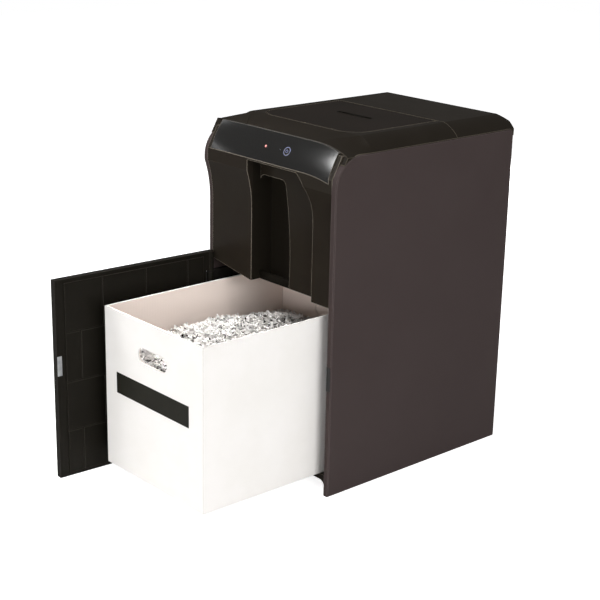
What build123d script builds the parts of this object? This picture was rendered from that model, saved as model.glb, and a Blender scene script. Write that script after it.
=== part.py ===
from build123d import *
import os
from math import atan2, cos, degrees, pi, radians, sin

os.makedirs("parts", exist_ok=True)

# A cabinet paper shredder with a lidded paper tray, a hinged door and a pull-out carton.
# Millimetres: X is the width, Y the depth with the front at -Y, Z is up.
# The origin is the centre of the cabinet's footprint, on the floor.

# Cabinet shell
cabinet_width = 392.0
cabinet_depth = 490.0
panel_height = 674.0
cap_height = 26.0
panel_thickness = 12.0
panel_corner_radius = 60.0
panel_rear_radius = 14.0
panel_edge_chamfer = 2.0
hinge_setback = 14.0
rear_panel_thickness = 12.0
vent_length = 90.0
vent_width = 6.0
vent_pitch = 14.0
vent_count = 7

# Base under the carton
base_top = 33.0
base_thickness = 12.0
base_setback = 16.0
apron_thickness = 10.0
arch_margin = 16.0
arch_radius = 14.0
foot_radius = 30.0

# Head: moulded front with a bay and a finger pocket
head_wall = 4.0
head_height = 294.0
head_left_rise = 20.0
head_depth = 76.0
face_setback = 13.5
nose_setback = 0.5
nose_height = 26.0
flare_height = 80.0
cheek_thickness = 10.0
bay_left = -60.0
bay_right = 120.0
bay_top_right = 84.0
bay_sweep = 72.0
bay_depth = 22.0
pocket_right = 30.0
pocket_taper = 16.0
pocket_shoulder = 60.0
pocket_drop = 37.0
pocket_depth = 30.0
pocket_radius = 12.0

# Gloss control fascia, leaning back above the head's nose, with a right end that droops
fascia_height = 55.0
fascia_drop = 13.0
fascia_lean = 31.0
fascia_bulge = 2.5
fascia_thickness = 4.0
fascia_end_gap = 0.3
fascia_flat_half = 100.0
fascia_left_droop = 1.0
fascia_right_droop = 15.0
fascia_lip = 2.0
button_x = 43.0
button_rise = 27.0
button_radius = 7.0
button_gap = 0.3
button_stem = 6.0
button_proud = 0.8

# Top: frame round the lid, lid, rear cover
cap_slope = 39.0
cap_bulge = 4.0
shoulder_depth = 93.0
lid_border = 17.0
lid_depth = 228.0
lid_thickness = 10.0
lid_corner_radius = 45.0
lid_edge_chamfer = 1.5
lid_gap = 1.0
lid_pin_radius = 2.5
lid_pin_reach = 12.0
card_slot_length = 96.0
card_slot_width = 9.0
cover_wall = 4.0
cover_rear_chamfer = 12.0
plate_inset = 40.0
plate_depth = 150.0
plate_thickness = 6.0
plate_drop = 40.0
plate_post_width = 16.0
plate_post_inset = 30.0

# Paper tray under the lid
tray_wall = 4.0
tray_depth = 78.0
tray_clearance = 1.0
tray_slot_inset = 12.0
tray_slot_front = 22.0
tray_slot_rear = 34.0

# Head floor with the outlet below the cutters
floor_plate_rise = 12.0
floor_plate_thickness = 4.0
outlet_inset = 14.0
outlet_width = 62.0

# Cutter block: two interleaved shafts in side frames
gear_module = 2.0
timing_teeth = 17
feed_teeth = 33
drive_teeth = 80
pinion_teeth = 14
gear_width = 10.0
running_fit = 0.05
cutter_drop = 66.0
cutter_front_offset = 211.0
disc_overlap = 6.0
disc_pitch = 12.0
disc_axial_gap = 0.2
disc_margin = 20.0
disc_tooth_depth = 3.0
hex_radius = 11.0
journal_radius = 6.0
frame_inset = 10.0
frame_thickness = 6.0
frame_margin = 31.0
frame_top_gap = 4.0
gear_stand_off = 16.0
tie_rod_radius = 5.0
tie_rod_drop = 42.0
comb_thickness = 7.0
comb_height = 20.0
comb_finger_gap = 0.4
comb_shaft_gap = 1.5

# Feed roller above the front cutter
feed_shaft_radius = 5.0
roller_radius = 17.5
roller_side_count = 24
roller_width = 40.0
roller_end_gap = 32.0

# Motor behind the cutters
motor_angle = -35.0
motor_radius = 30.0
motor_length = 110.0
motor_boss_radius = 10.0
motor_shaft_radius = 4.0
motor_shaft_depth = 40.0

# Carton and its contents, drawn forward
carton_side_gap = 29.5
carton_headroom = 19.7
carton_rear_gap = 6.0
carton_wall = 4.0
carton_pull = 290.0
carton_recess = 16.0
carton_clearance = 0.3
hand_hole_width = 90.0
hand_hole_height = 30.0
hand_hole_drop = 68.0
score_depth = 1.2
heap_clearance = 0.5
heap_edge_drop = 97.5
heap_crown_drop = 37.5
heap_crust = 10.0

# Door on two knuckle hinges at the left, swung open
door_angle = 93.0
door_thickness = 16.0
door_overlap = 36.0
door_bottom = 6.0
door_end_gap = 0.5
hinge_inset = 3.0
liner_thickness = 2.5
liner_margin = 8.0
brick_height = 102.0
brick_length = 100.0
groove_width = 3.0
groove_depth = 1.2
hinge_height = 30.0
hinge_low = 60.0
hinge_drop = 71.0
hinge_leaf_length = 56.0
hinge_leaf_thickness = 8.0
hinge_pin_radius = 3.0
hinge_pin_reach = 9.0
hinge_knuckle_gap = 0.5
hinge_slot_length = 13.0
keeper_height = 50.0
keeper_drop = 199.0
keeper_width = 12.0
keeper_depth = 14.0
strike_thickness = 0.8
strike_margin = 5.0

# Mains inlet and switch, in the back of the head above the carton's bay
inlet_side_gap = 26.0
inlet_rise = 39.0
inlet_width = 34.0
inlet_height = 58.0
inlet_body_depth = 24.0
inlet_flange = 4.0
inlet_flange_thickness = 2.0
socket_width = 25.0
socket_height = 18.0
rocker_width = 14.0
rocker_height = 20.0
rocker_depth = 9.0
rocker_proud = 2.0
rocker_pin_radius = 1.5
rocker_pin_length = 3.0
rocker_gap = 0.8
rocker_tip = 7.0

# Values that follow from the sizes above
half_width = cabinet_width / 2
inner_half = half_width - panel_thickness
cabinet_height = panel_height + cap_height
cap_underside = panel_height - cap_height
fascia_top = cabinet_height - fascia_drop
fascia_bottom = fascia_top - fascia_height
button_height = fascia_bottom + button_rise
flare_top = fascia_bottom - nose_height
flare_bottom = flare_top - flare_height
head_bottom = panel_height - head_height
head_left_bottom = head_bottom + head_left_rise
bay_shoulder = fascia_bottom - bay_sweep
pocket_top = fascia_bottom - pocket_drop
top_half_width = half_width - cap_slope
lid_half_width = top_half_width - lid_border
front = -cabinet_depth / 2
rear = cabinet_depth / 2
rear_inside = rear - rear_panel_thickness
head_rear = front + head_depth
bay_floor = front + face_setback + bay_depth
pocket_floor = bay_floor + pocket_depth
cheek_inside = inner_half - cheek_thickness
nose = front + nose_setback
hood_front = nose + fascia_lean + fascia_thickness
fascia_back_lean = fascia_lean * (panel_height - fascia_bottom) / fascia_height
lid_front = front + shoulder_depth
lid_axis_y = lid_front + lid_depth - lid_thickness / 2
lid_axis_z = cabinet_height - lid_thickness / 2
cover_front = lid_front + lid_depth + lid_gap
card_slot_y = front + cutter_front_offset + gear_module * timing_teeth / 2
plate_top = cabinet_height - lid_thickness - plate_drop
plate_half_width = lid_half_width - plate_inset
tray_floor_top = panel_height - tray_depth
tray_half = lid_half_width + tray_clearance
tray_front = lid_front - tray_clearance
floor_plate_z = head_bottom + floor_plate_rise
frame_half_span = lid_half_width - frame_inset
tray_slot_half = frame_half_span - tray_slot_inset
outlet_half = frame_half_span - outlet_inset
cutter_axis_z = tray_floor_top - cutter_drop
cutter_spacing = gear_module * timing_teeth
cutter_front_y = front + cutter_front_offset
cutter_rear_y = cutter_front_y + cutter_spacing
disc_radius = (cutter_spacing + disc_overlap) / 2
disc_thickness = disc_pitch / 2 - disc_axial_gap
disc_count = int(2 * (frame_half_span - disc_margin) // disc_pitch)
disc_start = -disc_pitch * disc_count / 2
feed_axis_z = cutter_axis_z + gear_module * (timing_teeth + feed_teeth) / 2
roller_spread = frame_half_span - roller_width / 2 - roller_end_gap
motor_distance = gear_module * (drive_teeth + pinion_teeth) / 2
motor_y = cutter_front_y + motor_distance * cos(radians(motor_angle))
motor_z = cutter_axis_z + motor_distance * sin(radians(motor_angle))
frame_outside = frame_half_span + frame_thickness
gear_inside = frame_outside + gear_stand_off
frame_bottom = floor_plate_z + floor_plate_thickness
frame_top = tray_floor_top - tray_wall - frame_top_gap
frame_front = cutter_front_y - frame_margin
frame_rear = cutter_rear_y + frame_margin
carton_half = inner_half - carton_side_gap
carton_width = 2 * carton_half
carton_bottom = base_top + carton_clearance
carton_top = head_bottom - carton_headroom
carton_height = carton_top - carton_bottom
carton_length = cabinet_depth - rear_panel_thickness - carton_recess - carton_rear_gap
carton_front = front + carton_recess - carton_pull
carton_rear = carton_front + carton_length
door_top = head_bottom + door_overlap
hinge_high = door_top - hinge_drop
keeper_z = door_top - keeper_drop
hinge_x = -inner_half + hinge_inset
hinge_y = front + face_setback - 1.5 - door_thickness / 2
door_length = inner_half - door_end_gap - hinge_x
slope = degrees(atan2(fascia_height, fascia_lean))
inlet_x = inner_half - inlet_side_gap
inlet_z = floor_plate_z + floor_plate_thickness + inlet_rise


def facing_right(x):
    """Plane at a given X whose axes are Y and Z, growing towards +X."""
    return Plane(origin=(x, 0, 0), x_dir=(0, 1, 0), z_dir=(1, 0, 0))


def facing_front(y):
    """Plane at a given Y whose axes are X and Z, growing towards -Y."""
    return Plane(origin=(0, y, 0), x_dir=(1, 0, 0), z_dir=(0, -1, 0))


def door_plane(z):
    """Horizontal plane of the open door, with its origin on the hinge axis."""
    turn = radians(door_angle)
    return Plane(origin=(hinge_x, hinge_y, z), x_dir=(cos(turn), -sin(turn), 0), z_dir=(0, 0, 1))


def gear_outline(teeth, phase):
    """Corner points of a spur gear, with one tooth centred on the phase angle in degrees."""
    pitch_radius = gear_module * teeth / 2
    root = pitch_radius - 1.2 * gear_module
    tip = pitch_radius + 0.85 * gear_module
    step = 2 * pi / teeth
    points = []
    for index in range(teeth):
        middle = radians(phase) + index * step
        for radius, share in ((root, -0.31), (tip, -0.10), (tip, 0.10), (root, 0.31)):
            angle = middle + share * step
            points.append((radius * cos(angle), radius * sin(angle)))
    return points


def meshing_phase(teeth_a, phase_a, teeth_b, direction):
    """Phase of a second gear that sets its gap on a tooth of the first along a direction."""
    lead = (phase_a - direction) * teeth_a / teeth_b
    return direction + 180.0 - lead + 180.0 / teeth_b


def disc_outline(phase):
    """Corner points of a cutter disc with four hooked teeth."""
    points = []
    for tooth in range(4):
        start = radians(phase + 90 * tooth)
        low = disc_radius - disc_tooth_depth
        points.append((disc_radius * cos(start), disc_radius * sin(start)))
        points.append((low * cos(start + 0.10), low * sin(start + 0.10)))
        middle = (low + disc_radius) / 2
        points.append((middle * cos(start + 0.85), middle * sin(start + 0.85)))
    return points


# Side panels, each with a broad round at the front of its top edge
with BuildPart() as right_side_panel:
    with BuildSketch(facing_right(inner_half)) as right_outline:
        with BuildLine():
            Polyline((front, 0), (rear, 0), (rear, panel_height), (front, panel_height), close=True)
        make_face()
        fillet(right_outline.vertices().group_by(Axis.Y)[-1].sort_by(Axis.X)[0], panel_corner_radius)
        fillet(right_outline.vertices().group_by(Axis.Y)[-1].sort_by(Axis.X)[-1], panel_rear_radius)
    extrude(amount=panel_thickness)
    chamfer(right_side_panel.faces().sort_by(Axis.X)[-1].edges(), panel_edge_chamfer)
right_side_panel.part.label = "right_side_panel"
export_step(right_side_panel.part, "parts/right_side_panel.step")

# The left panel's front edge steps back below the nose, to let the door's barrel turn
with BuildPart() as left_side_panel:
    with BuildSketch(facing_right(-half_width)) as left_outline:
        with BuildLine():
            Polyline(
                (front + hinge_setback, flare_bottom),
                (front + hinge_setback, 0),
                (rear, 0),
                (rear, panel_height),
                (front, panel_height),
                (front, flare_top),
            )
            TangentArc((front + hinge_setback, flare_bottom), (front, flare_top), tangent=(0, 1))
        make_face()
        fillet(left_outline.vertices().group_by(Axis.Y)[-1].sort_by(Axis.X)[0], panel_corner_radius)
        fillet(left_outline.vertices().group_by(Axis.Y)[-1].sort_by(Axis.X)[-1], panel_rear_radius)
    extrude(amount=panel_thickness)
    chamfer(left_side_panel.faces().sort_by(Axis.X)[0].edges(), panel_edge_chamfer)
left_side_panel.part.label = "left_side_panel"
export_step(left_side_panel.part, "parts/left_side_panel.step")

# Raised floor for the carton, with an arched apron below its front edge and a foot at its middle
with BuildPart() as base_tray:
    with BuildSketch(Plane.XY.offset(base_top)):
        with Locations((0, (front + base_setback + rear_inside) / 2)):
            Rectangle(2 * inner_half, rear_inside - front - base_setback)
    extrude(amount=-base_thickness)
    with BuildSketch(facing_front(front + base_setback)):
        with Locations((0, base_top / 2)):
            Rectangle(2 * inner_half, base_top)
    extrude(amount=-apron_thickness)
    with BuildSketch(facing_front(front + base_setback)) as arch:
        with BuildLine():
            Polyline(
                (-inner_half + arch_margin, 0),
                (inner_half - arch_margin, 0),
                (inner_half - arch_margin, base_top - base_thickness),
                (-inner_half + arch_margin, base_top - base_thickness),
                close=True,
            )
        make_face()
        fillet(arch.vertices().group_by(Axis.Y)[-1], arch_radius)
    extrude(amount=-apron_thickness, mode=Mode.SUBTRACT)
    with BuildSketch(Plane.XY):
        Circle(foot_radius)
    extrude(amount=base_top - base_thickness)
base_tray.part.label = "base_tray"
export_step(base_tray.part, "parts/base_tray.step")

# Rear panel with two banks of vent slots and the cut-out for the mains inlet
with BuildPart() as rear_panel:
    with BuildSketch(facing_front(rear)):
        with Locations((0, (base_top - base_thickness + panel_height) / 2)):
            Rectangle(2 * inner_half, panel_height - base_top + base_thickness)
    extrude(amount=rear_panel_thickness)
    with BuildSketch(facing_front(rear)):
        with Locations((0, motor_z)):
            with GridLocations(2 * vent_length, vent_pitch, 2, vent_count):
                Rectangle(vent_length, vent_width)
    extrude(amount=rear_panel_thickness, mode=Mode.SUBTRACT)
    with BuildSketch(facing_front(rear)):
        with Locations((inlet_x, inlet_z)):
            Rectangle(inlet_width, inlet_height)
    extrude(amount=rear_panel_thickness, mode=Mode.SUBTRACT)
rear_panel.part.label = "rear_panel"
export_step(rear_panel.part, "parts/rear_panel.step")

# Front view of the fascia: level in the middle, with both edges drooping towards the ends
fascia_ends = ((-1, fascia_left_droop), (1, fascia_right_droop))
fascia_lowest = fascia_bottom - max(fascia_left_droop, fascia_right_droop)
with BuildSketch(Plane.XY) as fascia_outline:
    with BuildLine():
        for side, droop in fascia_ends:
            for edge in (fascia_bottom, fascia_top):
                TangentArc(
                    (side * fascia_flat_half, edge),
                    (side * half_width, edge - droop),
                    tangent=(side, 0),
                )
            Line((side * half_width, fascia_bottom - droop), (side * half_width, fascia_top - droop))
        Line((-fascia_flat_half, fascia_bottom), (fascia_flat_half, fascia_bottom))
        Line((-fascia_flat_half, fascia_top), (fascia_flat_half, fascia_top))
    make_face()

# Space inside the head's front moulding, less the tubs of the bay and the pocket
with BuildPart() as head_cavity:
    with BuildSketch(facing_right(-cheek_inside)):
        with BuildLine():
            TangentArc(
                (front + face_setback + head_wall, flare_bottom),
                (nose + head_wall, flare_top),
                tangent=(0, 1),
            )
            Polyline(
                (nose + head_wall, flare_top),
                (nose + head_wall, fascia_lowest - head_wall),
                (head_rear + head_wall, fascia_lowest - head_wall),
                (head_rear + head_wall, head_bottom + head_wall),
                (front + face_setback + head_wall, head_bottom + head_wall),
                (front + face_setback + head_wall, flare_bottom),
            )
        make_face()
    extrude(amount=2 * cheek_inside)
    with BuildSketch(facing_front(front)):
        with BuildLine():
            Polyline(
                (bay_left - head_wall, head_bottom),
                (bay_left - head_wall, fascia_bottom),
                (bay_right + head_wall, fascia_bottom),
                (bay_right + head_wall, head_bottom),
                close=True,
            )
        make_face()
    extrude(amount=-(face_setback + bay_depth + head_wall), mode=Mode.SUBTRACT)
    with BuildSketch(facing_front(front)):
        with BuildLine():
            Polyline(
                (bay_left - head_wall, head_bottom),
                (bay_left - head_wall, pocket_top + head_wall),
                (pocket_right + head_wall, pocket_top + head_wall),
                (pocket_right + head_wall, head_bottom),
                close=True,
            )
        make_face()
    extrude(amount=-(pocket_floor - front + head_wall), mode=Mode.SUBTRACT)

# Head front: nose, concave flare, bay whose right side sweeps in at the top, and the pocket
with BuildPart() as head_front:
    with BuildSketch(facing_right(-inner_half)):
        with BuildLine():
            TangentArc((front + face_setback, flare_bottom), (nose, flare_top), tangent=(0, 1))
            Polyline(
                (nose, flare_top),
                (nose, fascia_bottom),
                (nose + fascia_back_lean, panel_height),
                (head_rear, panel_height),
                (head_rear, head_bottom),
                (front + face_setback, head_bottom),
                (front + face_setback, flare_bottom),
            )
        make_face()
    extrude(amount=2 * inner_half)
    add(head_cavity.part, mode=Mode.SUBTRACT)
    with BuildSketch(facing_right(-cheek_inside)):
        with BuildLine():
            Polyline(
                (front - head_wall, fascia_bottom),
                (front - head_wall, panel_height),
                (head_rear, panel_height),
                (head_rear, fascia_bottom),
                close=True,
            )
        make_face()
    extrude(amount=2 * cheek_inside, mode=Mode.SUBTRACT)
    with BuildSketch(facing_front(front)):
        add(fascia_outline.sketch)
        with Locations((0, fascia_bottom)):
            Rectangle(2 * cheek_inside, fascia_height, mode=Mode.INTERSECT)
    extrude(amount=-(nose_setback + fascia_lip), mode=Mode.SUBTRACT)
    with BuildSketch(facing_front(front)):
        with BuildLine():
            Line((bay_left, head_bottom), (bay_left, fascia_bottom - head_wall))
            Line((bay_left, fascia_bottom - head_wall), (bay_top_right, fascia_bottom - head_wall))
            ThreePointArc(
                (bay_top_right, fascia_bottom - head_wall),
                (
                    bay_right - 0.3 * (bay_right - bay_top_right),
                    bay_shoulder + 0.55 * (fascia_bottom - head_wall - bay_shoulder),
                ),
                (bay_right, bay_shoulder),
            )
            Line((bay_right, bay_shoulder), (bay_right, head_bottom))
            Line((bay_right, head_bottom), (bay_left, head_bottom))
        make_face()
    extrude(amount=-(face_setback + bay_depth), mode=Mode.SUBTRACT)
    with BuildSketch(facing_front(front)) as pocket_outline:
        with BuildLine():
            Polyline(
                (pocket_right, head_bottom),
                (bay_left, head_bottom),
                (bay_left, pocket_top),
                (pocket_right - pocket_taper, pocket_top),
            )
            ThreePointArc(
                (pocket_right - pocket_taper, pocket_top),
                (pocket_right - pocket_taper / 3, pocket_top - pocket_shoulder),
                (pocket_right, head_bottom),
            )
        make_face()
        fillet(pocket_outline.vertices().group_by(Axis.Y)[-1], pocket_radius)
    extrude(amount=-(pocket_floor - front), mode=Mode.SUBTRACT)
    with BuildSketch(facing_front(front)):
        with BuildLine():
            Polyline(
                (-inner_half, head_bottom),
                (-inner_half, head_left_bottom),
                (bay_left - head_wall, head_bottom),
                close=True,
            )
        make_face()
    extrude(amount=-head_depth, mode=Mode.SUBTRACT)
head_front.part.label = "head_front"
export_step(head_front.part, "parts/head_front.step")

# Gloss fascia between the cheeks, bowed a little, cut to its front view
with BuildPart() as control_fascia:
    with BuildSketch(facing_right(-cheek_inside + fascia_end_gap)):
        with BuildLine():
            ThreePointArc(
                (nose, fascia_bottom),
                (nose + fascia_lean / 2 - fascia_bulge, (fascia_bottom + fascia_top) / 2 + fascia_bulge / 2),
                (nose + fascia_lean, fascia_top),
            )
            Polyline(
                (nose + fascia_lean, fascia_top),
                (hood_front, fascia_top),
                (nose + fascia_thickness, fascia_bottom),
                (nose + fascia_lip, fascia_bottom),
                (nose + fascia_lip, fascia_lowest),
                (nose, fascia_lowest),
                (nose, fascia_bottom),
            )
        make_face()
    extrude(amount=2 * (cheek_inside - fascia_end_gap))
    with BuildSketch(facing_front(front - fascia_thickness)):
        add(fascia_outline.sketch)
    extrude(amount=-(fascia_lean + 4 * fascia_thickness), mode=Mode.INTERSECT)
    button_seat = Plane(
        origin=(
            button_x,
            nose + fascia_lean * button_rise / fascia_height,
            button_height,
        ),
        x_dir=(1, 0, 0),
        z_dir=(0, -sin(radians(slope)), cos(radians(slope))),
    )
    with BuildSketch(button_seat):
        Circle(button_radius + button_gap)
    extrude(amount=2 * fascia_thickness, both=True, mode=Mode.SUBTRACT)
control_fascia.part.label = "control_fascia"
export_step(control_fascia.part, "parts/control_fascia.step")

# Power button: a short stem with a chamfered face
with BuildPart() as power_button:
    with BuildSketch(button_seat.offset(fascia_bulge + button_proud)):
        Circle(button_radius)
    extrude(amount=-(fascia_bulge + button_proud + button_stem))
    chamfer(power_button.faces().sort_by(Axis.Y)[0].edges(), button_proud / 2)
power_button.part.label = "power_button"
export_step(power_button.part, "parts/power_button.step")

# Cap that closes the head: its front edge droops with the fascia and grows into the full section,
# and a lip fills the space behind the fascia
with BuildPart() as cap_body:
    with BuildSketch(facing_front(hood_front)) as cap_front_section:
        with BuildLine():
            for side, droop in fascia_ends:
                TangentArc(
                    (side * fascia_flat_half, fascia_top),
                    (side * half_width, fascia_top - droop),
                    tangent=(side, 0),
                )
                Line((side * half_width, fascia_top - droop), (side * half_width, cap_underside))
            Line((-half_width, cap_underside), (half_width, cap_underside))
            Line((-fascia_flat_half, fascia_top), (fascia_flat_half, fascia_top))
        make_face()
    with BuildSketch(facing_front(lid_front)) as cap_section:
        with BuildLine():
            for side in (-1, 1):
                SagittaArc(
                    (side * top_half_width, cabinet_height),
                    (side * half_width, panel_height),
                    side * cap_bulge,
                )
                Line((side * half_width, panel_height), (side * half_width, cap_underside))
            Line((-half_width, cap_underside), (half_width, cap_underside))
            Line((-top_half_width, cabinet_height), (top_half_width, cabinet_height))
        make_face()
    loft(ruled=True)
    extrude(cap_section.sketch, amount=-(rear - lid_front))
    extrude(cap_front_section.sketch, amount=fascia_lean)
    with BuildSketch(facing_right(-half_width)):
        with BuildLine():
            Polyline(
                (hood_front, cabinet_height),
                (hood_front, fascia_top),
                (nose + fascia_thickness, fascia_bottom),
                (front - fascia_thickness, fascia_bottom),
                (front - fascia_thickness, cabinet_height),
                close=True,
            )
        make_face()
    extrude(amount=cabinet_width, mode=Mode.SUBTRACT)
    extrude(right_outline.sketch, amount=panel_thickness, mode=Mode.SUBTRACT)
    extrude(left_outline.sketch, amount=panel_thickness, mode=Mode.SUBTRACT)
    with BuildSketch(Plane.XY.offset(cap_underside)):
        Rectangle(2 * inner_half, cabinet_depth)
    extrude(amount=cap_height, mode=Mode.SUBTRACT)

# Frame round the lid, open at the back where the rear cover meets it
with BuildPart() as top_frame:
    add(cap_body.part)
    with BuildSketch(Plane.XY.offset(cap_underside)):
        with Locations((0, (cover_front + rear) / 2)):
            Rectangle(cabinet_width, rear - cover_front)
    extrude(amount=2 * cap_height, mode=Mode.SUBTRACT)
    with BuildSketch(Plane.XY.offset(panel_height)) as lid_well:
        with Locations((0, (lid_front - lid_gap + cover_front) / 2)):
            Rectangle(2 * (lid_half_width + lid_gap), cover_front - lid_front + lid_gap)
        fillet(lid_well.vertices().group_by(Axis.Y)[0], lid_corner_radius + lid_gap)
    extrude(amount=cap_height, mode=Mode.SUBTRACT)
    with BuildSketch(facing_right(-lid_half_width - lid_pin_reach)):
        with Locations((lid_axis_y, lid_axis_z)):
            Circle(lid_pin_radius + running_fit)
    extrude(amount=2 * (lid_half_width + lid_pin_reach), mode=Mode.SUBTRACT)
top_frame.part.label = "top_frame"
export_step(top_frame.part, "parts/top_frame.step")

# Rear cover behind the lid, hollow below, with its rear edge chamfered
with BuildPart() as top_rear_cover:
    add(cap_body.part)
    with BuildSketch(Plane.XY.offset(cap_underside)):
        with Locations((0, (front + cover_front) / 2)):
            Rectangle(cabinet_width, cover_front - front)
    extrude(amount=2 * cap_height, mode=Mode.SUBTRACT)
    chamfer(top_rear_cover.faces().sort_by(Axis.Z)[-1].edges().sort_by(Axis.Y)[-1], cover_rear_chamfer)
    with BuildSketch(Plane.XY.offset(panel_height)):
        with Locations((0, (cover_front + rear) / 2)):
            Rectangle(2 * (top_half_width - cover_wall), rear - cover_front - 2 * cover_rear_chamfer)
    extrude(amount=cap_height - cover_wall, mode=Mode.SUBTRACT)
top_rear_cover.part.label = "top_rear_cover"
export_step(top_rear_cover.part, "parts/top_rear_cover.step")

# Lid over the paper tray, with a card slot and a round rear edge that is its own hinge barrel
with BuildPart() as lid_shell:
    with BuildSketch(Plane.XY.offset(cabinet_height)) as lid_outline:
        with Locations((0, (lid_front + lid_axis_y) / 2)):
            Rectangle(2 * lid_half_width, lid_axis_y - lid_front)
        fillet(lid_outline.vertices().group_by(Axis.Y)[0], lid_corner_radius)
    extrude(amount=-lid_thickness)
    chamfer(lid_shell.faces().sort_by(Axis.Z)[-1].edges().sort_by(Axis.Y)[:-1], lid_edge_chamfer)
    with BuildSketch(facing_right(-lid_half_width)):
        with Locations((lid_axis_y, lid_axis_z)):
            Circle(lid_thickness / 2)
    extrude(amount=2 * lid_half_width)
    for side in (-1, 1):
        with BuildSketch(facing_right(side * lid_half_width)):
            with Locations((lid_axis_y, lid_axis_z)):
                Circle(lid_pin_radius + running_fit)
        extrude(amount=-side * lid_pin_reach, mode=Mode.SUBTRACT)
    with BuildSketch(Plane.XY.offset(cabinet_height)):
        with Locations((0, card_slot_y)):
            SlotOverall(card_slot_length, card_slot_width)
    extrude(amount=-lid_thickness, mode=Mode.SUBTRACT)
lid_shell.part.label = "lid_shell"
export_step(lid_shell.part, "parts/lid_shell.step")

# Pressure plate that hangs from the lid on four posts and holds the stack down
post_spread_x = 2 * (plate_half_width - plate_post_inset)
post_spread_y = plate_depth - 2 * plate_post_inset
with BuildPart() as lid_pressure_plate:
    with BuildSketch(Plane.XY.offset(plate_top)):
        with Locations((0, card_slot_y)):
            RectangleRounded(2 * plate_half_width, plate_depth, pocket_radius)
            SlotOverall(card_slot_length, card_slot_width, mode=Mode.SUBTRACT)
    extrude(amount=-plate_thickness)
    with BuildSketch(Plane.XY.offset(plate_top)):
        with Locations((0, card_slot_y)):
            with GridLocations(post_spread_x, post_spread_y, 2, 2):
                Rectangle(plate_post_width, plate_post_width)
    extrude(amount=plate_drop)
lid_pressure_plate.part.label = "lid_pressure_plate"
export_step(lid_pressure_plate.part, "parts/lid_pressure_plate.step")

# Two plain pins hold the lid's barrel in the frame
for side, name in ((-1, "lid_pin_left"), (1, "lid_pin_right")):
    with BuildPart() as lid_pin:
        with BuildSketch(facing_right(side * (lid_half_width - lid_pin_reach))):
            with Locations((lid_axis_y, lid_axis_z)):
                Circle(lid_pin_radius)
        extrude(amount=side * 2 * lid_pin_reach)
    lid_pin.part.label = name
    export_step(lid_pin.part, "parts/" + name + ".step")

# Paper tray: a hopper whose floor is cut away over the feed roller and the cutters
with BuildPart() as paper_tray:
    with BuildSketch(Plane.XY.offset(tray_floor_top - tray_wall)):
        with Locations((0, (tray_front + cover_front) / 2)):
            Rectangle(2 * (tray_half + tray_wall), cover_front - tray_front + 2 * tray_wall)
    extrude(amount=panel_height - tray_floor_top + tray_wall)
    with BuildSketch(Plane.XY.offset(tray_floor_top)):
        with Locations((0, (tray_front + cover_front) / 2)):
            Rectangle(2 * tray_half, cover_front - tray_front)
    extrude(amount=panel_height - tray_floor_top, mode=Mode.SUBTRACT)
    with BuildSketch(Plane.XY.offset(tray_floor_top)):
        with Locations((0, card_slot_y + (tray_slot_rear - tray_slot_front - cutter_spacing / 2) / 2)):
            Rectangle(2 * tray_slot_half, tray_slot_front + tray_slot_rear + cutter_spacing / 2)
    extrude(amount=-tray_wall, mode=Mode.SUBTRACT)
paper_tray.part.label = "paper_tray"
export_step(paper_tray.part, "parts/paper_tray.step")

# Floor of the head, with the outlet that drops the cut paper into the carton
with BuildPart() as head_floor:
    with BuildSketch(Plane.XY.offset(floor_plate_z)):
        with Locations((0, (head_rear + rear_inside) / 2)):
            Rectangle(2 * inner_half, rear_inside - head_rear)
        with Locations((0, card_slot_y)):
            Rectangle(2 * outlet_half, outlet_width, mode=Mode.SUBTRACT)
    extrude(amount=floor_plate_thickness)
head_floor.part.label = "head_floor"
export_step(head_floor.part, "parts/head_floor.step")

# Side frames of the cutter block stand on the head floor; the right one carries the motor
with BuildPart() as cutter_frame_left:
    with BuildSketch(facing_right(-frame_outside)):
        with Locations(((frame_front + frame_rear) / 2, (frame_bottom + frame_top) / 2)):
            Rectangle(frame_rear - frame_front, frame_top - frame_bottom)
        with Locations((cutter_front_y, cutter_axis_z), (cutter_rear_y, cutter_axis_z)):
            Circle(journal_radius + running_fit, mode=Mode.SUBTRACT)
        with Locations((cutter_front_y, feed_axis_z)):
            Circle(feed_shaft_radius + running_fit, mode=Mode.SUBTRACT)
    extrude(amount=frame_thickness)
cutter_frame_left.part.label = "cutter_frame_left"
export_step(cutter_frame_left.part, "parts/cutter_frame_left.step")

with BuildPart() as cutter_frame_right:
    with BuildSketch(facing_right(frame_half_span)):
        with BuildLine():
            Polyline(
                (frame_front, frame_bottom),
                (motor_y + motor_radius, frame_bottom),
                (motor_y + motor_radius, motor_z + motor_radius),
                (frame_rear, frame_top),
                (frame_front, frame_top),
                close=True,
            )
        make_face()
        with Locations((cutter_front_y, cutter_axis_z), (cutter_rear_y, cutter_axis_z)):
            Circle(journal_radius + running_fit, mode=Mode.SUBTRACT)
        with Locations((cutter_front_y, feed_axis_z)):
            Circle(feed_shaft_radius + running_fit, mode=Mode.SUBTRACT)
        with Locations((motor_y, motor_z)):
            Circle(motor_boss_radius + running_fit, mode=Mode.SUBTRACT)
    extrude(amount=frame_thickness)
cutter_frame_right.part.label = "cutter_frame_right"
export_step(cutter_frame_right.part, "parts/cutter_frame_right.step")

# Hexagonal tie rods between the frames, one low in front and one high behind
for name, rod_y, rod_z in (
    ("tie_rod_front", frame_front + 2 * tie_rod_radius, cutter_axis_z - tie_rod_drop),
    ("tie_rod_rear", frame_rear - 2 * tie_rod_radius, cutter_axis_z + tie_rod_drop),
):
    with BuildPart() as tie_rod:
        with BuildSketch(facing_right(-frame_half_span)):
            with Locations((rod_y, rod_z)):
                RegularPolygon(tie_rod_radius, 6)
        extrude(amount=2 * frame_half_span)
    tie_rod.part.label = name
    export_step(tie_rod.part, "parts/" + name + ".step")

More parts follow.
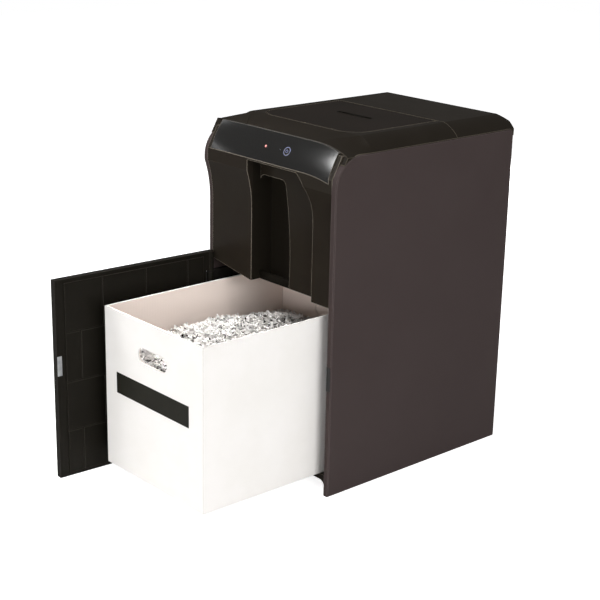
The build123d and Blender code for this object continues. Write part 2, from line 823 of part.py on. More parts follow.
# Stripper combs: fingers that reach between the discs to clear the shreds
for name, axis_y, way, first_gap in (
    ("stripper_comb_front", cutter_front_y, -1, disc_thickness),
    ("stripper_comb_rear", cutter_rear_y, 1, -disc_axial_gap),
):
    finger = disc_pitch - disc_thickness - 2 * comb_finger_gap
    bar_inside = axis_y + way * (frame_margin - comb_thickness)
    tip_y = axis_y + way * (hex_radius + comb_shaft_gap)
    with BuildPart() as stripper_comb:
        with BuildSketch(Plane.XY.offset(cutter_axis_z - comb_height / 2)):
            with Locations((0, bar_inside + way * comb_thickness / 2)):
                Rectangle(2 * frame_half_span, comb_thickness)
            for index in range(disc_count):
                gap_start = disc_start + index * disc_pitch + first_gap
                with Locations((gap_start + comb_finger_gap + finger / 2, (bar_inside + tip_y) / 2)):
                    Rectangle(finger, abs(bar_inside - tip_y))
        extrude(amount=comb_height)
    stripper_comb.part.label = name
    export_step(stripper_comb.part, "parts/" + name + ".step")

# Cutters: hexagonal shafts with hooked discs that pass between each other
for name, axis_y, shift, right_end, phase in (
    ("cutter_front", cutter_front_y, 0.0, gear_inside + gear_width, 0.0),
    ("cutter_rear", cutter_rear_y, disc_pitch / 2, frame_outside, 45.0),
):
    with BuildPart() as cutter:
        with BuildSketch(facing_right(-gear_inside - gear_width)):
            with Locations((axis_y, cutter_axis_z)):
                Circle(journal_radius)
        extrude(amount=gear_inside + gear_width + right_end)
        with BuildSketch(facing_right(-frame_half_span + comb_finger_gap)):
            with Locations((axis_y, cutter_axis_z)):
                RegularPolygon(hex_radius, 6)
        extrude(amount=2 * (frame_half_span - comb_finger_gap))
        for index in range(disc_count):
            start = disc_start + shift + index * disc_pitch
            with BuildSketch(facing_right(start)):
                with BuildLine(Plane((axis_y, cutter_axis_z, 0))):
                    Polyline(*disc_outline(phase + 11 * index), close=True)
                make_face()
            extrude(amount=disc_thickness)
    cutter.part.label = name
    export_step(cutter.part, "parts/" + name + ".step")

# Spur gears: a timing pair and the feed gear on the left, the drive pair on the right
gear_left = -gear_inside - gear_width
rear_phase = meshing_phase(timing_teeth, 0.0, timing_teeth, 0.0)
feed_phase = meshing_phase(timing_teeth, 0.0, feed_teeth, 90.0)
for name, teeth, gear_x, gear_y, gear_z, bore, phase in (
    ("timing_gear_front", timing_teeth, gear_left, cutter_front_y, cutter_axis_z, journal_radius, 0.0),
    ("timing_gear_rear", timing_teeth, gear_left, cutter_rear_y, cutter_axis_z, journal_radius, rear_phase),
    ("feed_gear", feed_teeth, gear_left, cutter_front_y, feed_axis_z, feed_shaft_radius, feed_phase),
    ("drive_gear", drive_teeth, gear_inside, cutter_front_y, cutter_axis_z, journal_radius, 0.0),
):
    with BuildPart() as gear:
        with BuildSketch(facing_right(gear_x)):
            with BuildLine(Plane((gear_y, gear_z, 0))):
                Polyline(*gear_outline(teeth, phase), close=True)
            make_face()
            with Locations((gear_y, gear_z)):
                Circle(bore, mode=Mode.SUBTRACT)
        extrude(amount=gear_width)
    gear.part.label = name
    export_step(gear.part, "parts/" + name + ".step")

# Feed roller: a shaft with three many-sided rubber sleeves that reach through the tray's floor
with BuildPart() as feed_shaft:
    with BuildSketch(facing_right(gear_left)):
        with Locations((cutter_front_y, feed_axis_z)):
            Circle(feed_shaft_radius)
    extrude(amount=-gear_left + frame_outside)
feed_shaft.part.label = "feed_shaft"
export_step(feed_shaft.part, "parts/feed_shaft.step")

for name, middle in (
    ("feed_sleeve_left", -roller_spread),
    ("feed_sleeve_middle", 0.0),
    ("feed_sleeve_right", roller_spread),
):
    with BuildPart() as feed_sleeve:
        with BuildSketch(facing_right(middle - roller_width / 2)):
            with Locations((cutter_front_y, feed_axis_z)):
                RegularPolygon(roller_radius, roller_side_count)
                Circle(feed_shaft_radius, mode=Mode.SUBTRACT)
        extrude(amount=roller_width)
    feed_sleeve.part.label = name
    export_step(feed_sleeve.part, "parts/" + name + ".step")

# Motor bolted to the right frame, with its boss through the plate, and its pinion
with BuildPart() as motor:
    with BuildSketch(facing_right(frame_half_span - motor_length)):
        with Locations((motor_y, motor_z)):
            Circle(motor_radius)
    extrude(amount=motor_length)
    with BuildSketch(facing_right(frame_half_span)):
        with Locations((motor_y, motor_z)):
            Circle(motor_boss_radius)
    extrude(amount=frame_thickness)
    with BuildSketch(facing_right(frame_outside)):
        with Locations((motor_y, motor_z)):
            Circle(motor_shaft_radius + running_fit)
    extrude(amount=-motor_shaft_depth, mode=Mode.SUBTRACT)
motor.part.label = "motor"
export_step(motor.part, "parts/motor.step")

with BuildPart() as motor_pinion:
    with BuildSketch(facing_right(frame_outside - motor_shaft_depth + 1.0)):
        with Locations((motor_y, motor_z)):
            Circle(motor_shaft_radius)
    extrude(amount=motor_shaft_depth - 1.0 + gear_stand_off + gear_width)
    with BuildSketch(facing_right(gear_inside)):
        with BuildLine(Plane((motor_y, motor_z, 0))):
            Polyline(
                *gear_outline(pinion_teeth, meshing_phase(drive_teeth, 0.0, pinion_teeth, motor_angle)),
                close=True,
            )
        make_face()
    extrude(amount=gear_width)
motor_pinion.part.label = "motor_pinion"
export_step(motor_pinion.part, "parts/motor_pinion.step")

# Cardboard carton, open at the top, with a hand hole in front and a scored one, not punched out, behind
with BuildPart() as carton:
    with BuildSketch(Plane.XY.offset(carton_bottom)):
        with Locations((0, (carton_front + carton_rear) / 2)):
            Rectangle(carton_width, carton_length)
    extrude(amount=carton_height)
    with BuildSketch(Plane.XY.offset(carton_bottom + carton_wall)):
        with Locations((0, (carton_front + carton_rear) / 2)):
            Rectangle(carton_width - 2 * carton_wall, carton_length - 2 * carton_wall)
    extrude(amount=carton_height - carton_wall, mode=Mode.SUBTRACT)
    with BuildSketch(facing_front(carton_front)):
        with Locations((0, carton_top - hand_hole_drop)):
            SlotOverall(hand_hole_width, hand_hole_height)
    extrude(amount=-(carton_length - carton_wall + score_depth), mode=Mode.SUBTRACT)
carton.part.label = "carton"
export_step(carton.part, "parts/carton.step")

# Heap of cut paper in the carton, domed both ways and open below, so that it weighs as loose paper
heap_half = carton_half - carton_wall - heap_clearance
heap_front = carton_front + carton_wall + heap_clearance
heap_rear = carton_rear - carton_wall - heap_clearance
heap_floor = carton_bottom + carton_wall + heap_clearance
heap_edge = carton_top - heap_edge_drop
heap_crown = carton_top - heap_crown_drop
with BuildPart() as shred_heap:
    with BuildSketch(facing_front(heap_front)):
        with BuildLine():
            Line((-heap_half, heap_floor), (heap_half, heap_floor))
            Line((heap_half, heap_floor), (heap_half, heap_edge))
            ThreePointArc(
                (heap_half, heap_edge),
                (0, heap_crown),
                (-heap_half, heap_edge),
            )
            Line((-heap_half, heap_edge), (-heap_half, heap_floor))
        make_face()
    extrude(amount=-(heap_rear - heap_front))
    with BuildSketch(facing_right(-heap_half)):
        with BuildLine():
            Line((heap_front, heap_floor), (heap_rear, heap_floor))
            Line((heap_rear, heap_floor), (heap_rear, heap_edge))
            ThreePointArc(
                (heap_rear, heap_edge),
                ((heap_front + heap_rear) / 2, heap_crown),
                (heap_front, heap_edge),
            )
            Line((heap_front, heap_edge), (heap_front, heap_floor))
        make_face()
    extrude(amount=2 * heap_half, mode=Mode.INTERSECT)
    with BuildSketch(Plane.XY.offset(heap_floor)):
        with Locations((0, (heap_front + heap_rear) / 2)):
            Rectangle(2 * (heap_half - heap_crust), heap_rear - heap_front - 2 * heap_crust)
    extrude(amount=heap_edge - heap_floor - heap_crust, mode=Mode.SUBTRACT)
shred_heap.part.label = "shred_heap"
export_step(shred_heap.part, "parts/shred_heap.step")

# Door leaf with a round barrel edge, slotted for the hinge knuckles
leaf_inside = door_thickness / 2 - liner_thickness
with BuildPart() as door_leaf:
    with BuildSketch(door_plane(door_bottom)):
        Circle(door_thickness / 2)
        with Locations((door_length / 2, (leaf_inside - door_thickness / 2) / 2)):
            Rectangle(door_length, leaf_inside + door_thickness / 2)
    extrude(amount=door_top - door_bottom)
    for knuckle in (hinge_low, hinge_high):
        with BuildSketch(door_plane(knuckle - hinge_knuckle_gap)):
            with Locations(((hinge_slot_length - door_thickness / 2 - 1.0) / 2, 0)):
                Rectangle(hinge_slot_length + door_thickness / 2 + 1.0, 2 * door_thickness)
        extrude(amount=hinge_height + 2 * hinge_knuckle_gap, mode=Mode.SUBTRACT)
        with BuildSketch(door_plane(knuckle - hinge_pin_reach - hinge_knuckle_gap)):
            Circle(hinge_pin_radius + running_fit)
        extrude(amount=hinge_height + 2 * hinge_pin_reach + 2 * hinge_knuckle_gap, mode=Mode.SUBTRACT)
door_leaf.part.label = "door_leaf"
export_step(door_leaf.part, "parts/door_leaf.step")

# Liner on the door's inner side, grooved in a staggered brick pattern
liner_start = hinge_slot_length + liner_margin
liner_length = door_length - liner_start - liner_margin - keeper_width
with BuildPart() as door_liner:
    with BuildSketch(door_plane(door_bottom + liner_margin)):
        with Locations((liner_start + liner_length / 2, leaf_inside + liner_thickness / 2)):
            Rectangle(liner_length, liner_thickness)
    extrude(amount=door_top - door_bottom - 2 * liner_margin)
    rows = int((door_top - door_bottom - 2 * liner_margin) // brick_height)
    columns = int(liner_length // brick_length)
    groove_middle = leaf_inside + liner_thickness - groove_depth / 2
    for row in range(1, rows + 1):
        with BuildSketch(door_plane(door_top - liner_margin - row * brick_height)):
            with Locations((liner_start + liner_length / 2, groove_middle)):
                Rectangle(liner_length, groove_depth)
        extrude(amount=groove_width, mode=Mode.SUBTRACT)
    for row in range(rows + 1):
        top = door_top - liner_margin - row * brick_height
        for column in range(columns + 1):
            place = liner_start + (column + 0.5 * (row % 2) + 0.4) * brick_length
            if place > liner_start + liner_length - 2 * groove_width:
                continue
            with BuildSketch(door_plane(top)):
                with Locations((place, groove_middle)):
                    Rectangle(groove_width, groove_depth)
            extrude(amount=-min(brick_height, top - door_bottom - liner_margin), mode=Mode.SUBTRACT)
door_liner.part.label = "door_liner"
export_step(door_liner.part, "parts/door_liner.step")

# Steel strike at the door's free edge
with BuildPart() as door_strike:
    with BuildSketch(door_plane(keeper_z + strike_margin)):
        with Locations((door_length - keeper_width / 2, leaf_inside + strike_thickness / 2)):
            Rectangle(keeper_width - 2.0, strike_thickness)
    extrude(amount=keeper_height - 2 * strike_margin)
door_strike.part.label = "door_strike"
export_step(door_strike.part, "parts/door_strike.step")

# Fixed hinge knuckles on the left panel, each with its pin
for name, low in (("door_hinge_lower", hinge_low), ("door_hinge_upper", hinge_high)):
    with BuildPart() as door_hinge:
        with BuildSketch(Plane.XY.offset(low)):
            with Locations((hinge_x, hinge_y)):
                Circle(door_thickness / 2 - 1.0)
            with Locations((-inner_half + hinge_leaf_thickness / 2, hinge_y + hinge_leaf_length / 2)):
                Rectangle(hinge_leaf_thickness, hinge_leaf_length)
        extrude(amount=hinge_height)
        with BuildSketch(Plane.XY.offset(low - hinge_pin_reach)):
            with Locations((hinge_x, hinge_y)):
                Circle(hinge_pin_radius)
        extrude(amount=hinge_height + 2 * hinge_pin_reach)
    door_hinge.part.label = name
    export_step(door_hinge.part, "parts/" + name + ".step")

# Latch keeper on the right panel, just behind the closed door
with BuildPart() as door_keeper:
    with BuildSketch(Plane.XY.offset(keeper_z)):
        with Locations((inner_half - keeper_width / 2, front + face_setback + keeper_depth / 2)):
            Rectangle(keeper_width, keeper_depth)
    extrude(amount=keeper_height)
    fillet(door_keeper.edges().filter_by(Axis.Y).group_by(Axis.X)[0], strike_margin / 2)
door_keeper.part.label = "door_keeper"
export_step(door_keeper.part, "parts/door_keeper.step")

# Mains inlet with its rocker switch above, set in the rear panel from behind
socket_z = inlet_z - inlet_height / 4
rocker_z = inlet_z + inlet_height / 4
with BuildPart() as mains_inlet:
    with BuildSketch(facing_front(rear + inlet_flange_thickness)):
        with Locations((inlet_x, inlet_z)):
            Rectangle(inlet_width + 2 * inlet_flange, inlet_height + 2 * inlet_flange)
    extrude(amount=inlet_flange_thickness)
    with BuildSketch(facing_front(rear)):
        with Locations((inlet_x, inlet_z)):
            Rectangle(inlet_width - 2 * running_fit, inlet_height - 2 * running_fit)
    extrude(amount=inlet_body_depth)
    with BuildSketch(facing_front(rear + inlet_flange_thickness)) as socket:
        with Locations((inlet_x, socket_z)):
            Rectangle(socket_width, socket_height)
        chamfer(socket.vertices().group_by(Axis.Y)[-1], socket_height / 4)
    extrude(amount=inlet_body_depth - inlet_flange_thickness, mode=Mode.SUBTRACT)
    with BuildSketch(facing_front(rear + inlet_flange_thickness)):
        with Locations((inlet_x, rocker_z)):
            Rectangle(rocker_width + 2 * rocker_gap, rocker_height + 2 * rocker_gap)
    extrude(amount=rocker_depth + inlet_flange_thickness, mode=Mode.SUBTRACT)
    with BuildSketch(facing_right(inlet_x - rocker_width / 2 - rocker_pin_length)):
        with Locations((rear, rocker_z)):
            Circle(rocker_pin_radius + running_fit)
    extrude(amount=rocker_width + 2 * rocker_pin_length, mode=Mode.SUBTRACT)
mains_inlet.part.label = "mains_inlet"
export_step(mains_inlet.part, "parts/mains_inlet.step")

# Rocker: two faces that meet in a shallow V, on a pin across the housing, tipped to its off side
rocker_half = rocker_height / 2
rocker_turn = radians(rocker_tip)


def rocker_plane(x):
    """Plane across the tipped rocker, with its origin on the rocker's pin."""
    return Plane(origin=(x, rear, rocker_z), x_dir=(0, cos(rocker_turn), sin(rocker_turn)), z_dir=(1, 0, 0))


with BuildPart() as rocker_switch:
    with BuildSketch(rocker_plane(inlet_x - rocker_width / 2)):
        with BuildLine():
            Polyline(
                (-rocker_depth / 3, -rocker_half),
                (inlet_flange_thickness + rocker_proud, -rocker_half),
                (inlet_flange_thickness, 0),
                (inlet_flange_thickness + rocker_proud, rocker_half),
                (-rocker_depth / 3, rocker_half),
                (-0.6 * rocker_depth, 0),
                close=True,
            )
        make_face()
    extrude(amount=rocker_width)
    with BuildSketch(rocker_plane(inlet_x - rocker_width / 2 - 0.8 * rocker_pin_length)):
        Circle(rocker_pin_radius)
    extrude(amount=rocker_width + 1.6 * rocker_pin_length)
rocker_switch.part.label = "rocker_switch"
export_step(rocker_switch.part, "parts/rocker_switch.step")
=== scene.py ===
"""Looks for a cabinet paper shredder: finishes, a heap of cut paper, small trim and a studio."""
import logging
import math
import random
from dataclasses import dataclass, field, replace
from enum import Enum
from typing import ClassVar

import bpy
from mathutils import Matrix, Vector


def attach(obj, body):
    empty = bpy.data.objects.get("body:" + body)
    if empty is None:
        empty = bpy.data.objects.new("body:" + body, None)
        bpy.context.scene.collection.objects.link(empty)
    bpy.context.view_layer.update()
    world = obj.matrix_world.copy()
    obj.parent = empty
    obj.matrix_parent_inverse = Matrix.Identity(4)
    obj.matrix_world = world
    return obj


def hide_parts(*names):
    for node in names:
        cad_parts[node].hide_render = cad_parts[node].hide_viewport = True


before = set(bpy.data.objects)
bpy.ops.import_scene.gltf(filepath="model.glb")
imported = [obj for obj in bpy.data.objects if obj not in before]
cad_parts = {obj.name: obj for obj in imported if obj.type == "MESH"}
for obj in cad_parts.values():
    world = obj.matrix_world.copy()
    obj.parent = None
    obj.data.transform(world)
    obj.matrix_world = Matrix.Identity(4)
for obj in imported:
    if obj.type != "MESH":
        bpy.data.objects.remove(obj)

LOG = logging.getLogger("shredder")
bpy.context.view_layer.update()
Socket = bpy.types.NodeSocket
Tree = bpy.types.NodeTree
Pair = tuple[float, float]
Point = tuple[float, float, float]
WHITE = (1.0, 1.0, 1.0, 1.0)
# Sockets of a mix node that blends two colours
MIX_SHARE, MIX_FROM, MIX_TO, MIX_RESULT = 0, 6, 7, 2
# Stretch of the noise between its two colours, and between its two roughnesses
DRIFT_SPAN = (0.35, 0.65)
GRAIN_SPAN = (0.3, 0.7)
# Cosine between a face and its rounded edge, where the light painted along the edge starts and where it is
# full
EDGE_LIGHT_SPAN = (0.99, 0.85)
EDGE_SAMPLES = 6
# Corners of a shred's section, in shares of its width and thickness
SECTION = ((-0.5, -0.5), (0.5, -0.5), (0.5, 0.5), (-0.5, 0.5))


class Body(str, Enum):
    """Bodies of the part that new pieces ride on."""

    CABINET = "cabinet"
    DOOR = "door"
    BIN = "bin"
    LID = "lid"
    BUTTON = "power_button"


class Slot(str, Enum):
    """Material slots of the record."""

    SHELL = "shell"
    GLOSS = "gloss"
    BUTTON = "button"
    LID = "lid"
    DOOR = "door"
    STEEL = "steel"
    BOARD = "board"
    SHREDS = "shreds"


def mm(value: float) -> float:
    """Millimetres to metres."""
    return value / 1000.0


def linear(code: str) -> tuple[float, float, float, float]:
    """Turn an sRGB hex colour into linear light.

    Args:
        code: Six hex digits after a hash.

    Returns:
        Linear red, green and blue, and an opacity of one.
    """
    digits = code.lstrip("#")
    values = [int(digits[index:index + 2], 16) / 255.0 for index in (0, 2, 4)]
    red, green, blue = [v / 12.92 if v <= 0.04045 else ((v + 0.055) / 1.055) ** 2.4 for v in values]
    return red, green, blue, 1.0


def add_node(tree: Tree, kind: str, inputs: dict | None = None, **settings: object) -> bpy.types.Node:
    """Add one shader node with its settings, values and links.

    Args:
        tree: Node tree that receives the node.
        kind: Blender's identifier of the node type, after its ShaderNode prefix.
        inputs: Input name or index to a value, or to the socket that feeds it.
        settings: Attributes of the node.

    Returns:
        The new node.
    """
    node = tree.nodes.new("ShaderNode" + kind)
    for key, value in settings.items():
        setattr(node, key, value)
    for key, value in (inputs or {}).items():
        if isinstance(value, Socket):
            tree.links.new(value, node.inputs[key])
        else:
            node.inputs[key].default_value = value
    return node


@dataclass(frozen=True)
class Finish:
    """Base of every finish: a principled surface with a colour that drifts and a fine relief.

    Attributes:
        name: What the real material is and how its surface was made.
        light: sRGB hex of the paler patches.
        dark: sRGB hex of the deeper patches.
        drift_mm: Size of the patches.
        grain_mm: Size of the finest relief.
        relief_mm: Height of the relief.
        rough_low: Roughness of the smoother spots.
        rough_high: Roughness of the rougher spots.
        specular: Strength of the mirror part at normal sight.
        metallic: One for bare metal.
        ior: Index of refraction.
        coat: Weight of the surface's clear skin, which scales its reflections.
        coat_rough: Roughness of that skin.
        edge_mm: Radius of the rounded edge, which catches light and along which light is painted.
        edge_highlight_and_shade: sRGB hex painted along that edge, a painted highlight on the dark finishes
            and painted shade on the board, or nothing where it keeps the surface's colour.
    """

    name: str
    light: str
    dark: str
    drift_mm: float = 60.0
    grain_mm: float = 1.6
    relief_mm: float = 0.05
    rough_low: float = 0.5
    rough_high: float = 0.65
    specular: float = 0.0
    metallic: float = 0.0
    ior: float = 1.5
    coat: float = 0.0
    coat_rough: float = 0.3
    edge_mm: float = 0.8
    edge_highlight_and_shade: str = ""

    def stretch(self) -> Point:
        """How the grain is drawn out along X, Y and Z."""
        return (1.0, 1.0, 1.0)

    def build(self) -> bpy.types.Material:
        """Make the material.

        Returns:
            A node material named for this finish.
        """
        material = bpy.data.materials.new(self.name)
        material.use_nodes = True
        tree = material.node_tree
        tree.nodes.clear()
        place = add_node(tree, "TexCoord").outputs["Object"]
        drawn = add_node(tree, "Mapping", {"Vector": place, "Scale": self.stretch()}).outputs["Vector"]
        drift = add_node(
            tree, "TexNoise",
            {"Vector": place, "Scale": 1.0 / mm(self.drift_mm), "Detail": 3.0, "Roughness": 0.6},
        ).outputs["Fac"]
        grain = add_node(
            tree, "TexNoise",
            {"Vector": drawn, "Scale": 1.0 / mm(self.grain_mm), "Detail": 2.0, "Roughness": 0.55},
        ).outputs["Fac"]
        edge = add_node(
            tree, "Bevel", {"Radius": mm(self.edge_mm)}, samples=EDGE_SAMPLES
        ).outputs["Normal"]
        # Light painted along the edges: highlights on the dark finishes, shade on the board
        tint = self.paint_edge_light(tree, self.tint(tree, place, drift), edge)
        rough = add_node(
            tree, "MapRange",
            {
                "Value": grain, "From Min": GRAIN_SPAN[0], "From Max": GRAIN_SPAN[1],
                "To Min": self.rough_low, "To Max": self.rough_high,
            },
        ).outputs["Result"]
        bump = add_node(
            tree, "Bump",
            {
                "Height": self.height(tree, place, grain), "Strength": 1.0,
                "Distance": mm(self.relief_mm), "Normal": edge,
            },
        ).outputs["Normal"]
        surface = add_node(
            tree, "BsdfPrincipled",
            {
                "Base Color": tint, "Roughness": rough, "Normal": bump, "Coat Normal": bump,
                "Metallic": self.metallic, "IOR": self.ior, "Specular IOR Level": self.specular,
                "Coat Weight": self.coat, "Coat Roughness": self.coat_rough,
            },
        )
        add_node(tree, "OutputMaterial", {"Surface": surface.outputs["BSDF"]})
        return material

    def tint(self, tree: Tree, place: Socket, drift: Socket) -> Socket:
        """Colour that wanders between the two shades.

        Args:
            tree: Node tree of the material.
            place: Object coordinates.
            drift: Broad noise.

        Returns:
            Colour socket.
        """
        ramp = add_node(tree, "ValToRGB", {"Fac": drift})
        for stop, position, shade in zip(ramp.color_ramp.elements, DRIFT_SPAN, (self.dark, self.light)):
            stop.position = position
            stop.color = linear(shade)
        return ramp.outputs["Color"]

    def paint_edge_light(self, tree: Tree, tint: Socket, edge: Socket) -> Socket:
        """Colour with light painted along its edges: highlights on the dark finishes, shade on the board.

        Args:
            tree: Node tree of the material.
            tint: Colour of the surface.
            edge: Normal rounded over the edges.

        Returns:
            Colour socket.
        """
        if not self.edge_highlight_and_shade:
            return tint
        flat = add_node(tree, "NewGeometry").outputs["Normal"]
        match = add_node(tree, "VectorMath", {0: flat, 1: edge}, operation="DOT_PRODUCT").outputs["Value"]
        edge_light_share = add_node(
            tree, "MapRange", {"Value": match, "From Min": EDGE_LIGHT_SPAN[0], "From Max": EDGE_LIGHT_SPAN[1]}
        ).outputs["Result"]
        return add_node(
            tree, "Mix", {MIX_SHARE: edge_light_share, MIX_FROM: tint, MIX_TO: linear(self.edge_highlight_and_shade)}, data_type="RGBA"
        ).outputs[MIX_RESULT]

    def height(self, tree: Tree, place: Socket, grain: Socket) -> Socket:
        """Relief of the surface, which is the grain unless a finish adds to it."""
        return grain


@dataclass(frozen=True)
class HeadFinish(Finish):
    """Moulding with painted shade in its deep pocket and on the bay's left wall.

    Attributes:
        pocket: sRGB hex of the painted shade in the pocket and on the bay's left wall.
        pocket_mm: Y behind which the pocket lies, just past the bay's floor.
        wall_mm: X of the bay's left wall.
        wall_reach_mm: How far to either side of that X the wall is taken to lie.
        lip_mm: Y behind which the wall takes the painted shade, just past the lip of the head's face.
    """

    pocket: str = "#1E1B16"
    pocket_mm: float = -209.0
    wall_mm: float = -60.0
    wall_reach_mm: float = 0.4
    lip_mm: float = -229.0

    def painted_shade_mask(self, tree: Tree) -> Socket:
        """One where shade is painted, in the pocket and on the wall beside it, zero elsewhere.

        Args:
            tree: Node tree of the material.

        Returns:
            Value socket.
        """
        place = add_node(tree, "TexCoord").outputs["Object"]
        parts = add_node(tree, "SeparateXYZ", {"Vector": place}).outputs
        deep = add_node(
            tree, "Math", {0: parts["Y"], 1: mm(self.pocket_mm)}, operation="GREATER_THAN"
        ).outputs["Value"]
        beside = add_node(
            tree, "Math",
            {0: parts["X"], 1: mm(self.wall_mm), 2: mm(self.wall_reach_mm)}, operation="COMPARE",
        ).outputs["Value"]
        inside = add_node(
            tree, "Math", {0: parts["Y"], 1: mm(self.lip_mm)}, operation="GREATER_THAN"
        ).outputs["Value"]
        wall = add_node(tree, "Math", {0: beside, 1: inside}, operation="MINIMUM").outputs["Value"]
        return add_node(tree, "Math", {0: deep, 1: wall}, operation="MAXIMUM").outputs["Value"]

    def paint_edge_light(self, tree: Tree, tint: Socket, edge: Socket) -> Socket:
        """Painted edge highlights outside the pocket, and even painted shade in it and on the bay's left
        wall.

        Args:
            tree: Node tree of the material.
            tint: Colour of the moulding.
            edge: Normal rounded over the edges.

        Returns:
            Colour socket.
        """
        # Painted shade: the pocket and the bay's left wall take one even dark colour, with no edge highlight
        painted_shade_mask = self.painted_shade_mask(tree)
        paint_edge_light = super().paint_edge_light(tree, tint, edge)
        return add_node(
            tree, "Mix", {MIX_SHARE: painted_shade_mask, MIX_FROM: paint_edge_light, MIX_TO: linear(self.pocket)}, data_type="RGBA"
        ).outputs[MIX_RESULT]


@dataclass(frozen=True)
class BrushedFinish(Finish):
    """Metal drawn along X, whose scratches stretch the highlight."""

    def stretch(self) -> Point:
        """Scratches twenty times as long as they are wide."""
        return (0.05, 1.0, 1.0)


@dataclass(frozen=True)
class BoardFinish(Finish):
    """Corrugated board: a white liner with faint flutes below it, warmer on its uncoated inside.

    Attributes:
        flute_mm: Distance between two flutes.
        flute_share: Height of the flutes against that of the fibre.
        inner: sRGB hex of the inside.
        inner_half_mm: Half of the inside's width, to the middle of the walls.
        inner_middle_mm: Y of the inside's middle.
        inner_reach_mm: Half of the inside's depth, to the middle of the walls.
        rim_mm: Z above which the walls' top edges are white.
    """

    flute_mm: float = 6.5
    flute_share: float = 0.35
    inner: str = "#F5E7DE"
    inner_half_mm: float = 152.0
    inner_middle_mm: float = -291.0
    inner_reach_mm: float = 225.5
    rim_mm: float = 359.5

    def tint(self, tree: Tree, place: Socket, drift: Socket) -> Socket:
        """White outside and along the top edges, warm white between the walls.

        Args:
            tree: Node tree of the material.
            place: Object coordinates.
            drift: Broad noise.

        Returns:
            Colour socket.
        """
        parts = add_node(tree, "SeparateXYZ", {"Vector": place}).outputs
        tests = (
            ("COMPARE", {0: parts["X"], 1: 0.0, 2: mm(self.inner_half_mm)}),
            ("COMPARE", {0: parts["Y"], 1: mm(self.inner_middle_mm), 2: mm(self.inner_reach_mm)}),
            ("LESS_THAN", {0: parts["Z"], 1: mm(self.rim_mm)}),
        )
        inside = 1.0
        for operation, inputs in tests:
            test = add_node(tree, "Math", inputs, operation=operation).outputs["Value"]
            inside = add_node(tree, "Math", {0: inside, 1: test}, operation="MINIMUM").outputs["Value"]
        white = super().tint(tree, place, drift)
        return add_node(
            tree, "Mix", {MIX_SHARE: inside, MIX_FROM: white, MIX_TO: linear(self.inner)}, data_type="RGBA"
        ).outputs[MIX_RESULT]

    def height(self, tree: Tree, place: Socket, grain: Socket) -> Socket:
        """Flutes that run up the walls, under the liner's own fibre.

        Args:
            tree: Node tree of the material.
            place: Object coordinates.
            grain: Height of the fibre.

        Returns:
            Value socket.
        """
        parts = add_node(tree, "SeparateXYZ", {"Vector": place})
        along = add_node(
            tree, "Math", {0: parts.outputs["X"], 1: parts.outputs["Y"]}, operation="ADD"
        ).outputs["Value"]
        turns = 2.0 * math.pi / mm(self.flute_mm)
        phase = add_node(tree, "Math", {0: along, 1: turns}, operation="MULTIPLY").outputs["Value"]
        wave = add_node(tree, "Math", {0: phase}, operation="SINE").outputs["Value"]
        return add_node(
            tree, "Math", {0: wave, 1: self.flute_share, 2: grain}, operation="MULTIPLY_ADD"
        ).outputs["Value"]


@dataclass(frozen=True)
class ShredFinish(Finish):
    """Cut office paper: every shred has its own shade, and the heap's body a dark painted shadow, kept in the
    piece's attribute.
    """

    def tint(self, tree: Tree, place: Socket, drift: Socket) -> Socket:
        """Shade read from the shred that the surface belongs to.

        Args:
            tree: Node tree of the material.
            place: Object coordinates, which a shred's shade doesn't need.
            drift: Broad noise, which it doesn't need either.

        Returns:
            Colour socket.
        """
        shade = add_node(tree, "Attribute", attribute_name="shade").outputs["Fac"]
        ramp = add_node(tree, "ValToRGB", {"Fac": shade})
        ramp.color_ramp.elements[0].color = linear(self.dark)
        ramp.color_ramp.elements[1].color = linear(self.light)
        return ramp.outputs["Color"]


@dataclass(frozen=True)
class LampFinish:
    """A lit lens of tinted plastic.

    Attributes:
        name: What the lens is.
        colour: sRGB hex of its light.
        strength: Strength of its glow.
        rough: Roughness of its face.
        haze_mm: Size of its paler spots.
        haze: How far these go towards white.
    """

    name: str
    colour: str
    strength: float
    rough: float = 0.15
    haze_mm: float = 1.5
    haze: float = 0.3

    def build(self) -> bpy.types.Material:
        """Make the material.

        Returns:
            A node material with a slightly uneven glow.
        """
        material = bpy.data.materials.new(self.name)
        material.use_nodes = True
        tree = material.node_tree
        tree.nodes.clear()
        place = add_node(tree, "TexCoord").outputs["Object"]
        haze = add_node(
            tree, "TexNoise", {"Vector": place, "Scale": 1.0 / mm(self.haze_mm), "Detail": 1.0}
        ).outputs["Fac"]
        ramp = add_node(tree, "ValToRGB", {"Fac": haze})
        deep = linear(self.colour)
        ramp.color_ramp.elements[0].color = deep
        ramp.color_ramp.elements[1].color = [(1.0 - self.haze) * value + self.haze for value in deep]
        surface = add_node(
            tree, "BsdfPrincipled",
            {
                "Base Color": ramp.outputs["Color"], "Emission Color": ramp.outputs["Color"],
                "Emission Strength": self.strength, "Roughness": self.rough,
            },
        )
        add_node(tree, "OutputMaterial", {"Surface": surface.outputs["BSDF"]})
        return material


# Real grain, fibre and scratches are finer than a pixel, so all are drawn about a millimetre wide to show
# Melamine-faced board: a flat warm charcoal with a faint pearled press texture and a painted highlight along
# its edges
LAMINATE = Finish(
    "melamine_faced_board", "#423938", "#403736", 220.0, 1.4, 0.01, 0.5, 0.6,
    coat=0.1, coat_rough=0.4, edge_mm=1.6, edge_highlight_and_shade="#6E6462",
)
# Textured ABS: spark-eroded moulds leave a fine even grain under a satin skin, painted highlight along edges
SHELL_ABS = Finish(
    "spark_textured_abs", "#231F1A", "#201C17", 140.0, 1.2, 0.03, 0.5, 0.65,
    coat=0.05, coat_rough=0.3, edge_mm=2.2, edge_highlight_and_shade="#665F54",
)
# Corner ABS: the same moulding at the cap's left corner, without the painted edge highlight
CORNER_ABS = replace(SHELL_ABS, name="spark_textured_abs_corner", edge_highlight_and_shade="")
